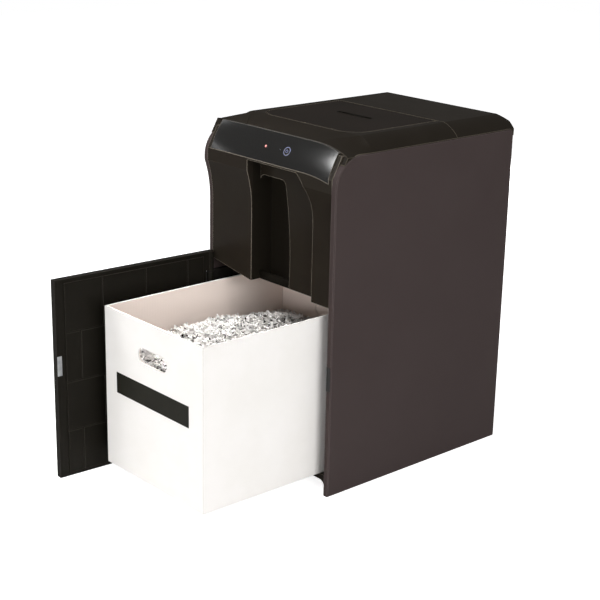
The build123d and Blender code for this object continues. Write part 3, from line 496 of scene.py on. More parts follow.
# Head ABS: the same moulding, with painted shade in its deep pocket and on the bay's left wall,
# and a painted highlight along its edges
HEAD_ABS = HeadFinish(
    "head_textured_abs", "#27231D", "#241F1A", 140.0, 1.2, 0.03, 0.5, 0.65,
    coat=0.08, coat_rough=0.3, edge_mm=2.2, edge_highlight_and_shade="#9A9184",
)
# Lid ABS: the same texture, a little browner where light rakes over it, with a painted highlight along its
# edges
LID_ABS = Finish(
    "lid_textured_abs", "#211C18", "#1E1A16", 120.0, 1.2, 0.03, 0.5, 0.65,
    coat=0.04, coat_rough=0.3, edge_mm=2.4, edge_highlight_and_shade="#7A7266",
)
# Polished ABS: mirror-like with faint mould flow, and a painted highlight along its edges
PIANO_ABS = Finish(
    "polished_abs", "#0D0C0A", "#0B0A08", 90.0, 6.0, 0.001, 0.1, 0.15,
    coat=0.34, coat_rough=0.07, edge_mm=1.4, edge_highlight_and_shade="#857D72",
)
# Door ABS: matt and nearly black, moulded with a coarser grain, with a painted highlight along its edges
DOOR_ABS = Finish(
    "matt_door_abs", "#1A1814", "#171511", 120.0, 1.6, 0.04, 0.55, 0.7,
    coat=0.1, coat_rough=0.35, edge_mm=1.6, edge_highlight_and_shade="#38352F",
)
# Recess ABS: the same plastic with hardly any skin, painted darker as the shade on parts in recesses,
# round the card slot and under the head and lid
SHADED_RECESS_ABS = Finish("shaded_recess_abs", "#181612", "#15130F", 120.0, 1.2, 0.04, 0.6, 0.75, coat=0.05)
# White-lined corrugated board: soft fibre and faint flutes, with painted shade along its edges
WHITE_BOARD = BoardFinish(
    "white_lined_corrugated_board", "#FAF7F4", "#F7F4F0", 90.0, 0.9, 0.03, 0.8, 0.95,
    edge_mm=1.3, edge_highlight_and_shade="#C9C4BC",
)
# Offset ink on board: dull black that keeps the board's fibre
BAND_INK = BoardFinish("black_ink_on_board", "#26251F", "#22211C", 50.0, 0.9, 0.03, 0.6, 0.75, coat=0.1)
# Copier paper: bright with a warm cast, and grey where print shows and where shadow is painted on the heap's
# body
COPY_PAPER = ShredFinish("copier_paper", "#FDFAF7", "#35302A", 40.0, 0.7, 0.01, 0.8, 0.95)
# Ground steel: bright, with fine scratches along the shafts
GROUND_STEEL = BrushedFinish("ground_steel", "#B9B9BB", "#9C9C9F", 30.0, 0.9, 0.01, 0.25, 0.4, 0.5, 1.0)
# Zinc-plated sheet: dull pale grey with blotches
ZINC_SHEET = Finish("zinc_plated_sheet", "#A9ABAC", "#8E9194", 14.0, 1.0, 0.01, 0.35, 0.5, 0.5, 1.0)
# Blackened steel: oxide that leaves a soft dark sheen
BLACK_STEEL = Finish("black_oxide_steel", "#1E1C1A", "#181715", 16.0, 1.0, 0.01, 0.5, 0.65, coat=0.15)
# Acetal: waxy ivory
ACETAL = Finish("moulded_acetal", "#E4DFCF", "#D8D2C0", 40.0, 1.5, 0.02, 0.3, 0.42, 0.4)
# Nitrile rubber: dull black with a dusty bloom
NITRILE = Finish("nitrile_rubber", "#232323", "#1A1A1A", 25.0, 0.9, 0.06, 0.7, 0.9, 0.2)
# Powder coat on the motor's can: orange-peel grey
MOTOR_COAT = Finish("powder_coated_can", "#5B5C5E", "#4E4F51", 40.0, 2.2, 0.04, 0.4, 0.55, 0.4)
# Glass-filled nylon: dense black with a slight sheen
NYLON = Finish("glass_filled_nylon", "#161616", "#101010", 40.0, 1.0, 0.03, 0.35, 0.5, 0.3)
# Lit lenses, dim enough not to flare
RED_LAMP = LampFinish("red_lens", "#F07A6C", 0.3)
PALE_LAMP = LampFinish("pale_lens", "#8894A4", 0.2)
BLUE_LAMP = LampFinish("blue_light_ring", "#4C5A96", 0.15)


class Palette:
    """Builds each finish once and hands the same material to every piece that asks."""

    def __init__(self) -> None:
        """Start with nothing built."""
        self.built: dict[str, bpy.types.Material] = {}

    def get(self, finish: Finish | LampFinish) -> bpy.types.Material:
        """Material of a finish, made at its first use.

        Args:
            finish: Finish to look up.

        Returns:
            Its material.
        """
        if finish.name not in self.built:
            self.built[finish.name] = finish.build()
        return self.built[finish.name]

    def dress(self, finish: Finish, *nodes: str) -> None:
        """Give one finish to CAD nodes.

        Args:
            finish: Finish to use.
            nodes: Names of the nodes.
        """
        material = self.get(finish)
        for name in nodes:
            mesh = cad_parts[name].data
            mesh.materials.clear()
            mesh.materials.append(material)
            LOG.info("dressed %s in %s", name, finish.name)


PALETTE = Palette()


def deselect_all() -> None:
    """Go back to object mode and select nothing."""
    if bpy.context.object and bpy.context.object.mode != "OBJECT":
        bpy.ops.object.mode_set(mode="OBJECT")
    bpy.ops.object.select_all(action="DESELECT")


def pick(obj: bpy.types.Object) -> None:
    """Make one object the only selected and active one.

    Args:
        obj: Object to work on next.
    """
    deselect_all()
    obj.select_set(True)
    bpy.context.view_layer.objects.active = obj


def apply_modifier(obj: bpy.types.Object, kind: str, **settings: object) -> None:
    """Add a modifier and apply it at once.

    Args:
        obj: Object to change.
        kind: Blender's modifier type.
        settings: Attributes of the modifier.
    """
    pick(obj)
    modifier = obj.modifiers.new(kind.lower(), kind)
    for key, value in settings.items():
        setattr(modifier, key, value)
    bpy.ops.object.modifier_apply(modifier=modifier.name)


def primitive(kind: str, **settings: object) -> bpy.types.Object:
    """Add one of Blender's mesh primitives.

    Args:
        kind: Name of the primitive.
        settings: Its sizes in metres, its facets and its place.

    Returns:
        The new object, which is the only selected one.
    """
    deselect_all()
    getattr(bpy.ops.mesh, f"primitive_{kind}_add")(**settings)
    return bpy.context.object


def seat(
    obj: bpy.types.Object, name: str, body: Body, finish: Finish | LampFinish,
    angle: float = 40.0,
) -> None:
    """Finish a new piece: bake its place, smooth it, dress it and hang it on its body.

    Args:
        obj: The modelled object.
        name: Name of the piece.
        body: Body that it moves with.
        finish: Finish to use.
        angle: Edges sharper than this stay sharp, in degrees.
    """
    pick(obj)
    bpy.ops.object.transform_apply(location=True, rotation=True, scale=True)
    bpy.ops.object.shade_smooth_by_angle(angle=math.radians(angle))
    obj.name = name
    obj.data.name = name
    obj.data.materials.clear()
    obj.data.materials.append(PALETTE.get(finish))
    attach(obj, body.value)
    LOG.info("made %s on %s", name, body.value)


def block(size: Point, place: Point, bevel: float = 0.0) -> bpy.types.Object:
    """A box with softened edges.

    Args:
        size: Full sizes in millimetres.
        place: Centre in millimetres.
        bevel: Width of the softened edge in millimetres.

    Returns:
        The new object, with its scale applied.
    """
    obj = primitive("cube", size=1.0, location=[mm(v) for v in place])
    obj.scale = [mm(v) for v in size]
    bpy.ops.object.transform_apply(location=False, rotation=False, scale=True)
    if bevel > 0.0:
        apply_modifier(obj, "BEVEL", width=mm(bevel), segments=2, limit_method="ANGLE")
    return obj


class Assembly:
    """A group of pieces that are dressed and made together.

    Attributes:
        coats: Each finish with the CAD nodes that it covers.
    """

    coats: ClassVar[tuple[tuple, ...]] = ()

    def dress(self) -> None:
        """Give the group's CAD nodes their finishes."""
        for finish, *nodes in self.coats:
            PALETTE.dress(finish, *nodes)

    def build(self) -> None:
        """Make the group's own pieces, where it has any."""


@dataclass
class Cabinet(Assembly):
    """Side panels, base, back and the fixed hardware.

    Attributes:
        edge: Width of the softened edges of the latch plate and the pocket's bar.
        screw_head: Radius, height and width of the softened edge of a panel screw's head.
        screw_stroke: Width, length and depth of each stroke of the cross in the head.
        screw_places: X and Z of the screws on the rear panel.
        rear_face: Y of the rear panel's outer face.
        latch_size: Width, thickness and height of the latch plate on the right panel's front edge.
        latch_place: Centre of the latch plate.
        latch_border: Width of the flat border round the plate's dished middle.
        latch_dish: Depth of the dished middle.
        sill_size: Sizes of the bar across the pocket's lower end.
        sill_place: Centre of that bar.
        corner_points: Fascia's left top end, lid frame's crest, panel's top and fascia's bend, which the left
            corner of the cap spans.
        corner_round: Width of the rounded ridge between the first two of those points.
    """

    coats = (
        (LAMINATE, "left_side_panel", "right_side_panel"),
        (HEAD_ABS, "head_front"),
        (SHELL_ABS, "top_frame", "top_rear_cover", "base_tray", "rear_panel"),
        (SHADED_RECESS_ABS, "paper_tray", "head_floor"),
        (NYLON, "door_keeper", "mains_inlet", "rocker_switch"),
        (BLACK_STEEL, "door_hinge_lower", "door_hinge_upper"),
        (ZINC_SHEET, "lid_pin_left", "lid_pin_right"),
    )
    edge: float = 0.4
    screw_head: Point = (4.0, 1.8, 0.6)
    screw_stroke: Point = (0.9, 4.2, 2.0)
    screw_places: list[Pair] = field(
        default_factory=lambda: [(x, z) for x in (-172.0, 172.0) for z in (60.0, 350.0, 655.0)]
    )
    rear_face: float = 245.0
    latch_size: Point = (10.5, 1.0, 49.0)
    latch_place: Point = (189.0, -245.2, 244.5)
    latch_border: float = 2.2
    latch_dish: float = 0.5
    sill_size: Point = (89.4, 4.0, 17.0)
    sill_place: Point = (-15.0, -207.5, 388.7)
    corner_points: tuple[Point, ...] = (
        (-195.5, -213.5, 686.0), (-157.0, -152.0, 699.6), (-195.5, -152.0, 674.0), (-100.0, -213.5, 686.6)
    )
    corner_round: float = 9.0

    def build(self) -> None:
        """Make the latch plate, the cap's left corner, the pocket's bar and the rear screws."""
        self.latch_plate()
        self.cap_corner()
        self.pocket_sill()
        self.rear_screws()

    def latch_plate(self) -> None:
        """A plate with a dished middle, let into the panel's front edge."""
        plate = block(self.latch_size, self.latch_place, self.edge)
        pick(plate)
        bpy.ops.object.mode_set(mode="EDIT")
        bpy.ops.mesh.select_all(action="DESELECT")
        bpy.ops.object.mode_set(mode="OBJECT")
        widest = max(plate.data.polygons, key=lambda face: -face.normal.y * face.area)
        widest.select = True
        bpy.ops.object.mode_set(mode="EDIT")
        bpy.ops.mesh.select_mode(type="FACE")
        bpy.ops.mesh.inset(thickness=mm(self.latch_border), depth=mm(-self.latch_dish))
        bpy.ops.mesh.select_mode(type="VERT")
        bpy.ops.object.mode_set(mode="OBJECT")
        seat(plate, "latch_plate", Body.CABINET, NYLON)

    def cap_corner(self) -> None:
        """Left corner of the cap: a three-sided wedge whose ridge runs up to the lid's frame."""
        corner = primitive("cone", vertices=3, radius1=1.0, depth=1.0)
        for vertex, point in zip(corner.data.vertices, self.corner_points):
            vertex.co = [mm(value) for value in point]
        bpy.ops.object.mode_set(mode="EDIT")
        bpy.ops.mesh.select_all(action="SELECT")
        bpy.ops.mesh.normals_make_consistent(inside=False)
        bpy.ops.object.mode_set(mode="OBJECT")
        weights = corner.data.attributes.new("bevel_weight_edge", "FLOAT", "EDGE")
        for edge in corner.data.edges:
            weights.data[edge.index].value = 1.0 if set(edge.vertices) == {0, 1} else 0.0
        apply_modifier(corner, "BEVEL", width=mm(self.corner_round), segments=5, limit_method="WEIGHT")
        seat(corner, "cap_corner_left", Body.CABINET, CORNER_ABS)

    def pocket_sill(self) -> None:
        """Bar across the lower end of the finger pocket, flush with the bay's floor."""
        sill = block(self.sill_size, self.sill_place, self.edge)
        seat(sill, "pocket_sill", Body.CABINET, SHADED_RECESS_ABS)

    def rear_screws(self) -> None:
        """Make the screws of the rear panel from one modelled screw."""
        radius, height, edge = self.screw_head
        head = primitive("cylinder", vertices=24, radius=mm(radius), depth=mm(height))
        apply_modifier(head, "BEVEL", width=mm(edge), segments=2, limit_method="ANGLE")
        for turn in (0.0, math.pi / 2):
            cutter = block(self.screw_stroke, (0.0, 0.0, height / 2))
            cutter.rotation_euler = (0.0, 0.0, turn)
            apply_modifier(head, "BOOLEAN", object=cutter, operation="DIFFERENCE", solver="EXACT")
            bpy.data.objects.remove(cutter)
        head.rotation_euler = (-math.pi / 2, 0.0, 0.0)
        for index, (x, z) in enumerate(self.screw_places):
            screw = head.copy()
            screw.data = head.data.copy()
            bpy.context.scene.collection.objects.link(screw)
            screw.location = (mm(x), mm(self.rear_face + height / 2), mm(z))
            seat(screw, f"rear_screw_{index + 1}", Body.CABINET, ZINC_SHEET)
        bpy.data.objects.remove(head)


class Works(Assembly):
    """Cutters, gears, feed roller and motor inside the head."""

    coats = (
        (GROUND_STEEL, "cutter_front", "cutter_rear", "feed_shaft", "motor_pinion"),
        (GROUND_STEEL, "tie_rod_front", "tie_rod_rear"),
        (ZINC_SHEET, "cutter_frame_left", "cutter_frame_right"),
        (ACETAL, "timing_gear_front", "timing_gear_rear", "feed_gear", "drive_gear"),
        (NYLON, "stripper_comb_front", "stripper_comb_rear"),
        (NITRILE, "feed_sleeve_left", "feed_sleeve_middle", "feed_sleeve_right"),
        (MOTOR_COAT, "motor"),
    )


@dataclass
class Controls(Assembly):
    """Gloss fascia with its lamps and power button.

    Attributes:
        foot: Y and Z of the fascia's lower front edge.
        crown: Y and Z of the fascia's upper front edge.
        bulge: How far the face bows out.
        height: Height of the controls.
        lamp: X and radius of the status lamp.
        dot: X and radius of the small lamp.
        lens_rise: Height of a lens against its radius.
        button_x: Place of the power button.
        ring: Radius, section radius and height off the face of the lit ring round the button.
        mark: The same for the open circle of the power mark.
        mark_gap: Half of the angle that the circle leaves open, in degrees.
        bar_size: Sizes of the stroke in that gap.
        bar_place: Centre of the stroke, from the circle's centre.
        bar_edge: Width of the stroke's softened edge.
    """

    coats = ((PIANO_ABS, "control_fascia", "power_button"),)
    foot: Pair = (-244.5, 632.0)
    crown: Pair = (-213.5, 687.0)
    bulge: float = 2.5
    height: float = 659.0
    lamp: Pair = (-19.0, 2.6)
    dot: Pair = (23.0, 1.0)
    lens_rise: float = 0.35
    button_x: float = 43.0
    ring: Point = (8.3, 0.55, 0.1)
    mark: Point = (2.9, 0.35, 0.8)
    mark_gap: float = 28.0
    bar_size: Point = (0.7, 3.0, 0.7)
    bar_place: Point = (0.0, 2.0, 0.0)
    bar_edge: float = 0.25

    def normal(self) -> Vector:
        """Outward direction of the fascia."""
        rise = Vector((0.0, self.crown[0] - self.foot[0], self.crown[1] - self.foot[1])).normalized()
        return Vector((0.0, -rise.z, rise.y))

    def spot(self, x: float, lift: float) -> Matrix:
        """Frame that stands on the fascia.

        Args:
            x: Place along X in millimetres.
            lift: Height above the bowed face in millimetres.

        Returns:
            A matrix whose Z axis is the fascia's normal.
        """
        share = (self.height - self.foot[1]) / (self.crown[1] - self.foot[1])
        base = Vector((x, self.foot[0] + share * (self.crown[0] - self.foot[0]), self.height))
        turn = self.normal().to_track_quat("Z", "Y").to_matrix().to_4x4()
        return Matrix.Translation((base + (self.bulge + lift) * self.normal()) / 1000.0) @ turn

    def build(self) -> None:
        """Make the lamps, the lit ring and the power mark."""
        self.lens("status_lamp", *self.lamp, RED_LAMP)
        self.lens("ready_lamp", *self.dot, PALE_LAMP)
        radius, wire, lift = self.ring
        ring = primitive(
            "torus", major_radius=mm(radius), minor_radius=mm(wire), major_segments=64, minor_segments=10
        )
        ring.matrix_world = self.spot(self.button_x, lift)
        seat(ring, "power_ring", Body.CABINET, BLUE_LAMP)
        self.power_mark()

    def lens(self, name: str, x: float, radius: float, finish: LampFinish) -> None:
        """A domed lens set in the fascia.

        Args:
            name: Name of the piece.
            x: Place along X in millimetres.
            radius: Radius in millimetres.
            finish: Its light.
        """
        obj = primitive("uv_sphere", segments=24, ring_count=12, radius=mm(radius))
        obj.scale = (1.0, 1.0, self.lens_rise)
        bpy.ops.object.transform_apply(location=False, rotation=False, scale=True)
        obj.matrix_world = self.spot(x, 0.0)
        seat(obj, name, Body.CABINET, finish)

    def power_mark(self) -> None:
        """Make the mark on the button: an open circle with a stroke in its gap."""
        radius, wire, lift = self.mark
        mark = primitive(
            "torus", major_radius=mm(radius), minor_radius=mm(wire), major_segments=48, minor_segments=8
        )
        bpy.ops.object.mode_set(mode="EDIT")
        bpy.ops.mesh.select_all(action="DESELECT")
        bpy.ops.object.mode_set(mode="OBJECT")
        for vertex in mark.data.vertices:
            vertex.select = abs(math.atan2(vertex.co.x, vertex.co.y)) < math.radians(self.mark_gap)
        bpy.ops.object.mode_set(mode="EDIT")
        bpy.ops.mesh.delete(type="VERT")
        bpy.ops.mesh.select_all(action="DESELECT")
        bpy.ops.mesh.select_non_manifold()
        bpy.ops.mesh.edge_face_add()
        bpy.ops.object.mode_set(mode="OBJECT")
        bar = block(self.bar_size, self.bar_place, self.bar_edge)
        pick(mark)
        bar.select_set(True)
        bpy.context.view_layer.objects.active = mark
        bpy.ops.object.join()
        mark.matrix_world = self.spot(self.button_x, lift)
        seat(mark, "power_mark", Body.BUTTON, BLUE_LAMP)


@dataclass
class Lid(Assembly):
    """Lid over the paper tray.

    Attributes:
        slot_length: Length of the card slot.
        slot_width: Width of the card slot.
        slot_y: Place of the slot along Y.
        rim_wire: Radius of the section of the slot's rim.
        top: Height of the lid's top.
    """

    coats = ((LID_ABS, "lid_shell"), (SHADED_RECESS_ABS, "lid_pressure_plate"))
    slot_length: float = 96.0
    slot_width: float = 9.0
    slot_y: float = -17.0
    rim_wire: float = 0.9
    top: float = 700.0

    def build(self) -> None:
        """Make the slot's rounded rim: a ring drawn out along X."""
        rim = primitive(
            "torus", major_radius=mm(self.slot_width / 2), minor_radius=mm(self.rim_wire),
            major_segments=48, minor_segments=10,
        )
        reach = mm((self.slot_length - self.slot_width) / 2)
        for vertex in rim.data.vertices:
            vertex.co.x += math.copysign(reach, vertex.co.x)
        rim.location = (0.0, mm(self.slot_y), mm(self.top))
        seat(rim, "card_slot_rim", Body.LID, SHADED_RECESS_ABS)


@dataclass
class Door(Assembly):
    """Door leaf, liner, strike and the tube round the hinge line.

    Attributes:
        hinge: X and Y of the hinge line.
        tube_z: Z of the lower and upper end of the tube that closes the gap along that line.
        tube_radius: Radius of the tube.
        tube_edge: Width of the rounding at its ends.
    """

    coats = ((DOOR_ABS, "door_leaf", "door_liner"), (ZINC_SHEET, "door_strike"))
    hinge: Pair = (-181.0, -241.0)
    tube_z: Pair = (62.0, 371.5)
    tube_radius: float = 7.8
    tube_edge: float = 1.5

    def build(self) -> None:
        """Make the hinge tube, with rounded ends."""
        low, high = self.tube_z
        tube = primitive(
            "cylinder", vertices=32, radius=mm(self.tube_radius), depth=mm(high - low),
            location=[mm(v) for v in (*self.hinge, (low + high) / 2)],
        )
        apply_modifier(tube, "BEVEL", width=mm(self.tube_edge), segments=3, limit_method="ANGLE")
        seat(tube, "hinge_tube", Body.DOOR, DOOR_ABS)


@dataclass
class Carton(Assembly):
    """White carton with a plain printed band.

    Attributes:
        front: Y of the carton's front face.
        band_x: X of the band's left and right end.
        band_z: Z of the band's lower and upper edge.
        ink: How far the print stands off the board.
    """

    coats = ((WHITE_BOARD, "carton"),)
    front: float = -519.0
    band_x: Pair = (-118.0, 112.0)
    band_z: Pair = (192.0, 235.0)
    ink: float = 0.25

    def build(self) -> None:
        """Make the printed band."""
        left, right = self.band_x
        low, high = self.band_z
        place = ((left + right) / 2, self.front - self.ink / 2, (low + high) / 2)
        band = block((right - left, self.ink, high - low), place)
        seat(band, "carton_band", Body.BIN, BAND_INK)


@dataclass
class ShredPile(Assembly):
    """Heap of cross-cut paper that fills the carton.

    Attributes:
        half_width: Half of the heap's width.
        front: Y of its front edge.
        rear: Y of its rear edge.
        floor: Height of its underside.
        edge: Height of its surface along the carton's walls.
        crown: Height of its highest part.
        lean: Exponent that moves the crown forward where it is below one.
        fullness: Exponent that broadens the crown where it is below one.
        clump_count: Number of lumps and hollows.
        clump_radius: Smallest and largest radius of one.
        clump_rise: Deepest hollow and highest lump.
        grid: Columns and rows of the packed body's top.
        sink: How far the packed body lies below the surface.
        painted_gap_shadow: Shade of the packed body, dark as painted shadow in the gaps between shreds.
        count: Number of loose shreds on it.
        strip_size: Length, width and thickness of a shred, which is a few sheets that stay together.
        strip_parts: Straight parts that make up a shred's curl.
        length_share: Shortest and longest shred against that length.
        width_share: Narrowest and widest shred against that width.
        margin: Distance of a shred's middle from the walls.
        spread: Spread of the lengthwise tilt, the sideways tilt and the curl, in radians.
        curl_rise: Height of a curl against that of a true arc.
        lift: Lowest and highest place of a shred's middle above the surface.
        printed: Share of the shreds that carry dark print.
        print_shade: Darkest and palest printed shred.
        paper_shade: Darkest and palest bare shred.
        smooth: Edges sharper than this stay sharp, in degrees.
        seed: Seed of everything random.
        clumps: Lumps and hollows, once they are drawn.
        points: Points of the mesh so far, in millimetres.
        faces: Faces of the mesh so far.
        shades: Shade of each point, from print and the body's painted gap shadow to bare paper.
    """

    half_width: float = 150.0
    front: float = -514.5
    rear: float = -67.5
    floor: float = 37.8
    edge: float = 252.0
    crown: float = 297.0
    lean: float = 0.85
    fullness: float = 0.6
    clump_count: int = 46
    clump_radius: Pair = (18.0, 45.0)
    clump_rise: Pair = (-9.0, 12.0)
    grid: tuple[int, int] = (40, 56)
    sink: float = 4.0
    painted_gap_shadow: float = 0.0
    count: int = 6400
    strip_size: Point = (17.0, 3.3, 0.4)
    strip_parts: int = 3
    length_share: Pair = (0.55, 1.1)
    width_share: Pair = (0.8, 1.15)
    margin: float = 4.0
    spread: Point = (0.4, 0.5, 1.8)
    curl_rise: float = 0.8
    lift: Pair = (-2.0, 9.0)
    printed: float = 0.07
    print_shade: Pair = (0.0, 0.35)
    paper_shade: Pair = (0.9, 1.0)
    smooth: float = 60.0
    seed: int = 11
    clumps: list[tuple[float, ...]] = field(default_factory=list)
    points: list[Vector] = field(default_factory=list)
    faces: list[tuple[int, ...]] = field(default_factory=list)
    shades: list[float] = field(default_factory=list)

    def build(self) -> None:
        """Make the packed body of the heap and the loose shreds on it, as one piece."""
        dice = random.Random(self.seed)
        for _ in range(self.clump_count):
            x = dice.uniform(-self.half_width, self.half_width)
            y = dice.uniform(self.front, self.rear)
            self.clumps.append((x, y, dice.uniform(*self.clump_radius), dice.uniform(*self.clump_rise)))
        self.packed_body()
        for _ in range(self.count):
            self.strip(dice)
        mesh = bpy.data.meshes.new("shred_pile")
        mesh.from_pydata([point / 1000.0 for point in self.points], [], self.faces)
        mesh.validate()
        shade = mesh.attributes.new("shade", "FLOAT", "POINT")
        shade.data.foreach_set("value", self.shades)
        obj = bpy.data.objects.new("shred_pile", mesh)
        bpy.context.scene.collection.objects.link(obj)
        seat(obj, "shred_pile", Body.BIN, COPY_PAPER, self.smooth)
        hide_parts("shred_heap")

    def add(self, point: Vector, shade: float) -> None:
        """Append one point with its shade."""
        self.points.append(point)
        self.shades.append(shade)

    def surface(self, x: float, y: float) -> float:
        """Height of the heap at a place, all in millimetres.

        Args:
            x: Place across the carton.
            y: Place along the carton.

        Returns:
            Height above the floor.
        """
        across = 1.0 - (x / self.half_width) ** 2
        along = 1.0 - (2.0 * ((y - self.front) / (self.rear - self.front)) ** self.lean - 1.0) ** 2
        height = self.edge + (self.crown - self.edge) * (max(across, 0.0) * max(along, 0.0)) ** self.fullness
        for clump_x, clump_y, radius, rise in self.clumps:
            reach = ((x - clump_x) ** 2 + (y - clump_y) ** 2) / radius**2
            height += rise * math.exp(-reach)
        return height

    def packed_body(self) -> None:
        """Add the closed body under the shreds: a lumpy top, straight sides and a flat base, all painted dark
        as the shadow in the gaps.
        """
        columns, rows = self.grid
        for row in range(rows + 1):
            for column in range(columns + 1):
                x = -self.half_width + 2.0 * self.half_width * column / columns
                y = self.front + (self.rear - self.front) * row / rows
                self.add(Vector((x, y, self.surface(x, y) - self.sink)), self.painted_gap_shadow)
        width = columns + 1
        for row in range(rows):
            for column in range(columns):
                corner = row * width + column
                self.faces.append((corner, corner + 1, corner + width + 1, corner + width))
        rim = list(range(width))
        rim += [row * width + columns for row in range(1, rows + 1)]
        rim += [rows * width + column for column in range(columns - 1, -1, -1)]
        rim += [row * width for row in range(rows - 1, 0, -1)]
        base = len(self.points)
        for index in rim:
            top = self.points[index]
            self.add(Vector((top.x, top.y, self.floor)), self.painted_gap_shadow)
        for step in range(len(rim)):
            after = (step + 1) % len(rim)
            self.faces.append((rim[step], base + step, base + after, rim[after]))
        self.faces.append(tuple(base + step for step in reversed(range(len(rim)))))

    def strip(self, dice: random.Random) -> None:
        """Add one curled shred that lies on the heap.

        Args:
            dice: Source of chance.
        """
        length, width, thickness = self.strip_size
        length *= dice.uniform(*self.length_share)
        width *= dice.uniform(*self.width_share)
        x = dice.uniform(-self.half_width + self.margin, self.half_width - self.margin)
        y = dice.uniform(self.front + self.margin, self.rear - self.margin)
        heading = dice.uniform(0.0, 2.0 * math.pi)
        pitch, roll, curl = [dice.gauss(0.0, spread) for spread in self.spread]
        turn = (
            Matrix.Rotation(heading, 3, "Z") @ Matrix.Rotation(pitch, 3, "Y") @ Matrix.Rotation(roll, 3, "X")
        )
        base = Vector((x, y, self.surface(x, y) + dice.uniform(*self.lift)))
        shades = self.print_shade if dice.random() < self.printed else self.paper_shade
        shade = dice.uniform(*shades)
        start = len(self.points)
        for index in range(self.strip_parts + 1):
            share = index / self.strip_parts - 0.5
            half_bend = curl * share * 0.5
            reach = length * share
            spine = Vector((reach * math.cos(half_bend), 0.0, reach * math.sin(half_bend) * self.curl_rise))
            for side, lift in SECTION:
                point = base + turn @ (spine + Vector((0.0, side * width, lift * thickness)))
                point.x = min(max(point.x, -self.half_width), self.half_width)
                point.y = min(max(point.y, self.front), self.rear)
                self.add(point, shade)
        sides = len(SECTION)
        for index in range(self.strip_parts):
            low = start + sides * index
            for side in range(sides):
                after = (side + 1) % sides
                self.faces.append((low + side, low + sides + side, low + sides + after, low + after))
        last = start + sides * self.strip_parts
        self.faces.append(tuple(start + side for side in range(sides)))
        self.faces.append(tuple(last + side for side in reversed(range(sides))))


@dataclass(frozen=True)
class SoftBox:
    """A rectangular lamp.

    Attributes:
        name: Name of the lamp.
        place: Its place in metres.
        aim: Point that it faces.
        size: Width and height in metres.
        watts: Power.
        up: Direction that its height leans towards.
        spread: Angle of its beam in degrees.
    """

    name: str
    place: Point
    aim: Point
    size: Pair
    watts: float
    up: Point = (0.0, 0.0, 1.0)
    spread: float = 180.0

    def build(self) -> None:
        """Hang the lamp and turn it to its aim."""
        light = bpy.data.lights.new(self.name, "AREA")
        light.shape = "RECTANGLE"
        light.size, light.size_y = self.size
        light.energy = self.watts
        light.spread = math.radians(self.spread)
        obj = bpy.data.objects.new(self.name, light)
        bpy.context.scene.collection.objects.link(obj)
        back = (Vector(self.place) - Vector(self.aim)).normalized()
        side = Vector(self.up).cross(back).normalized()
        turn = Matrix((side, back.cross(side), back)).transposed().to_4x4()
        obj.matrix_world = Matrix.Translation(self.place) @ turn


# The strips stand where the camera sees them in the fascia, and lean so that they run across it
STRIP_LEAN = (0.0, 0.66, 0.75)
SOFT_BOXES = (
    SoftBox("key", (2.9, -1.0, 1.3), (0.0, -0.2, 0.35), (1.4, 1.4), 44.0),
    SoftBox("front", (0.5, -2.7, 0.70), (0.0, -0.1, 0.33), (1.6, 0.3), 17.0),
    SoftBox("overhead", (0.2, -0.6, 2.6), (0.0, -0.3, 0.3), (1.4, 1.4), 30.0),
    SoftBox("rear", (-1.6, 2.5, 0.45), (0.0, 0.1, 0.38), (1.4, 0.6), 32.0),
    SoftBox("strip_right", (-1.925, -1.825, 2.05), (0.19, -0.229, 0.66), (0.08, 2.0), 30.0, STRIP_LEAN),
    SoftBox("strip_left", (-2.55, -1.66, 1.9), (-0.20, -0.229, 0.66), (0.03, 2.0), 2.0, STRIP_LEAN),
    SoftBox("heap", (-0.19, -0.43, 1.7), (-0.03, -0.40, 0.3), (0.15, 0.2), 0.4, (0.0, 1.0, 0.0), 24.0),
)


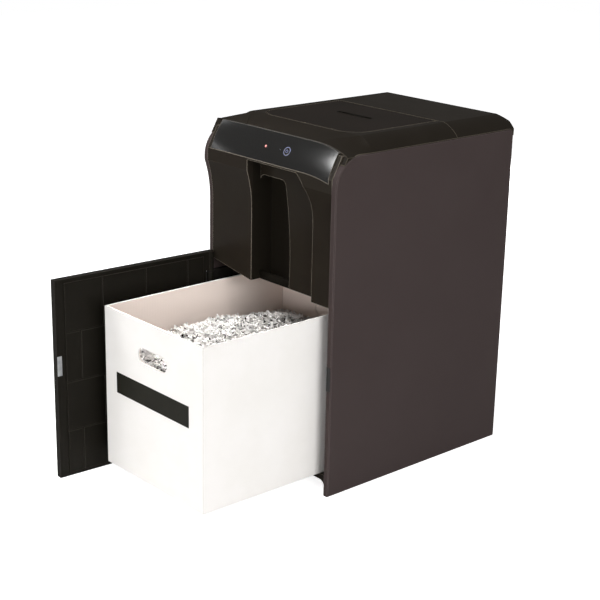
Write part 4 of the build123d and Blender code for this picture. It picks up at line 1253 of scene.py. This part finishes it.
@dataclass
class Studio:
    """Pale floor, soft lamps and the camera.

    Attributes:
        eye: Camera's place in metres.
        turn: Camera's rotation in degrees.
        lens: Focal length in millimetres.
        sensor: Width of the camera's sensor in millimetres.
        ambient: Strength of the light from all round.
        floor_size: Length of the floor's sides in metres.
        floor_drop: How far the floor lies below the part, in metres.
        floor_matt: Brightness and roughness of the floor.
        floor_lift: Glow that takes the lit floor to the background's white.
    """

    eye: Point = (2.0245, -1.9681, 1.2193)
    turn: Point = (72.034, -1.165, 48.484)
    lens: float = 84.906
    sensor: float = 36.0
    ambient: float = 0.16
    floor_size: float = 14.0
    floor_drop: float = 0.0005
    floor_matt: float = 0.9
    floor_lift: float = 0.86

    def seen(self, tree: Tree) -> Socket:
        """One where a surface is seen, directly or by way of another, and zero where it gives light.

        Args:
            tree: Node tree to build in.

        Returns:
            Value socket.
        """
        path = add_node(tree, "LightPath").outputs
        mirrored = add_node(
            tree, "Math", {0: path["Is Glossy Ray"], 1: path["Is Transmission Ray"]}, operation="MAXIMUM"
        ).outputs["Value"]
        return add_node(
            tree, "Math", {0: path["Is Camera Ray"], 1: mirrored}, operation="MAXIMUM"
        ).outputs["Value"]

    def floor(self) -> None:
        """A white floor that keeps the shadow."""
        ground = primitive("plane", size=self.floor_size, location=(0.0, 0.0, -self.floor_drop))
        ground.name = "studio_floor"
        material = bpy.data.materials.new("studio_floor_white")
        material.use_nodes = True
        tree = material.node_tree
        tree.nodes.clear()
        lift = add_node(
            tree, "MapRange", {"Value": self.seen(tree), "To Max": self.floor_lift}
        ).outputs["Result"]
        surface = add_node(
            tree, "BsdfPrincipled",
            {
                "Base Color": (self.floor_matt, self.floor_matt, self.floor_matt, 1.0),
                "Roughness": self.floor_matt, "Specular IOR Level": 0.0,
                "Emission Color": WHITE, "Emission Strength": lift,
            },
        )
        add_node(tree, "OutputMaterial", {"Surface": surface.outputs["BSDF"]})
        ground.data.materials.append(material)

    def world(self) -> None:
        """Even light, seen as white by the camera and in reflections."""
        world = bpy.data.worlds.new("studio")
        bpy.context.scene.world = world
        world.use_nodes = True
        tree = world.node_tree
        tree.nodes.clear()
        strength = add_node(
            tree, "MapRange", {"Value": self.seen(tree), "To Min": self.ambient}
        ).outputs["Result"]
        sky = add_node(tree, "Background", {"Color": WHITE, "Strength": strength})
        add_node(tree, "OutputWorld", {"Surface": sky.outputs["Background"]})

    def camera(self) -> None:
        """Camera at the photograph's viewing angle."""
        data = bpy.data.cameras.new("camera")
        data.lens = self.lens
        data.sensor_width = self.sensor
        data.sensor_fit = "HORIZONTAL"
        obj = bpy.data.objects.new("camera", data)
        bpy.context.scene.collection.objects.link(obj)
        obj.location = self.eye
        obj.rotation_euler = [math.radians(angle) for angle in self.turn]
        bpy.context.scene.camera = obj

    def build(self) -> None:
        """Set up the whole studio."""
        bpy.context.scene.view_settings.view_transform = "Standard"
        self.floor()
        self.world()
        for lamp in SOFT_BOXES:
            lamp.build()
        self.camera()


def main() -> None:
    """Build every sub-assembly in order, then the studio."""
    logging.basicConfig(level=logging.INFO, format="%(message)s")
    for part in (Cabinet(), Works(), Controls(), Lid(), Door(), Carton(), ShredPile()):
        part.dress()
        part.build()
    Studio().build()


if __name__ == "__main__":
    main()
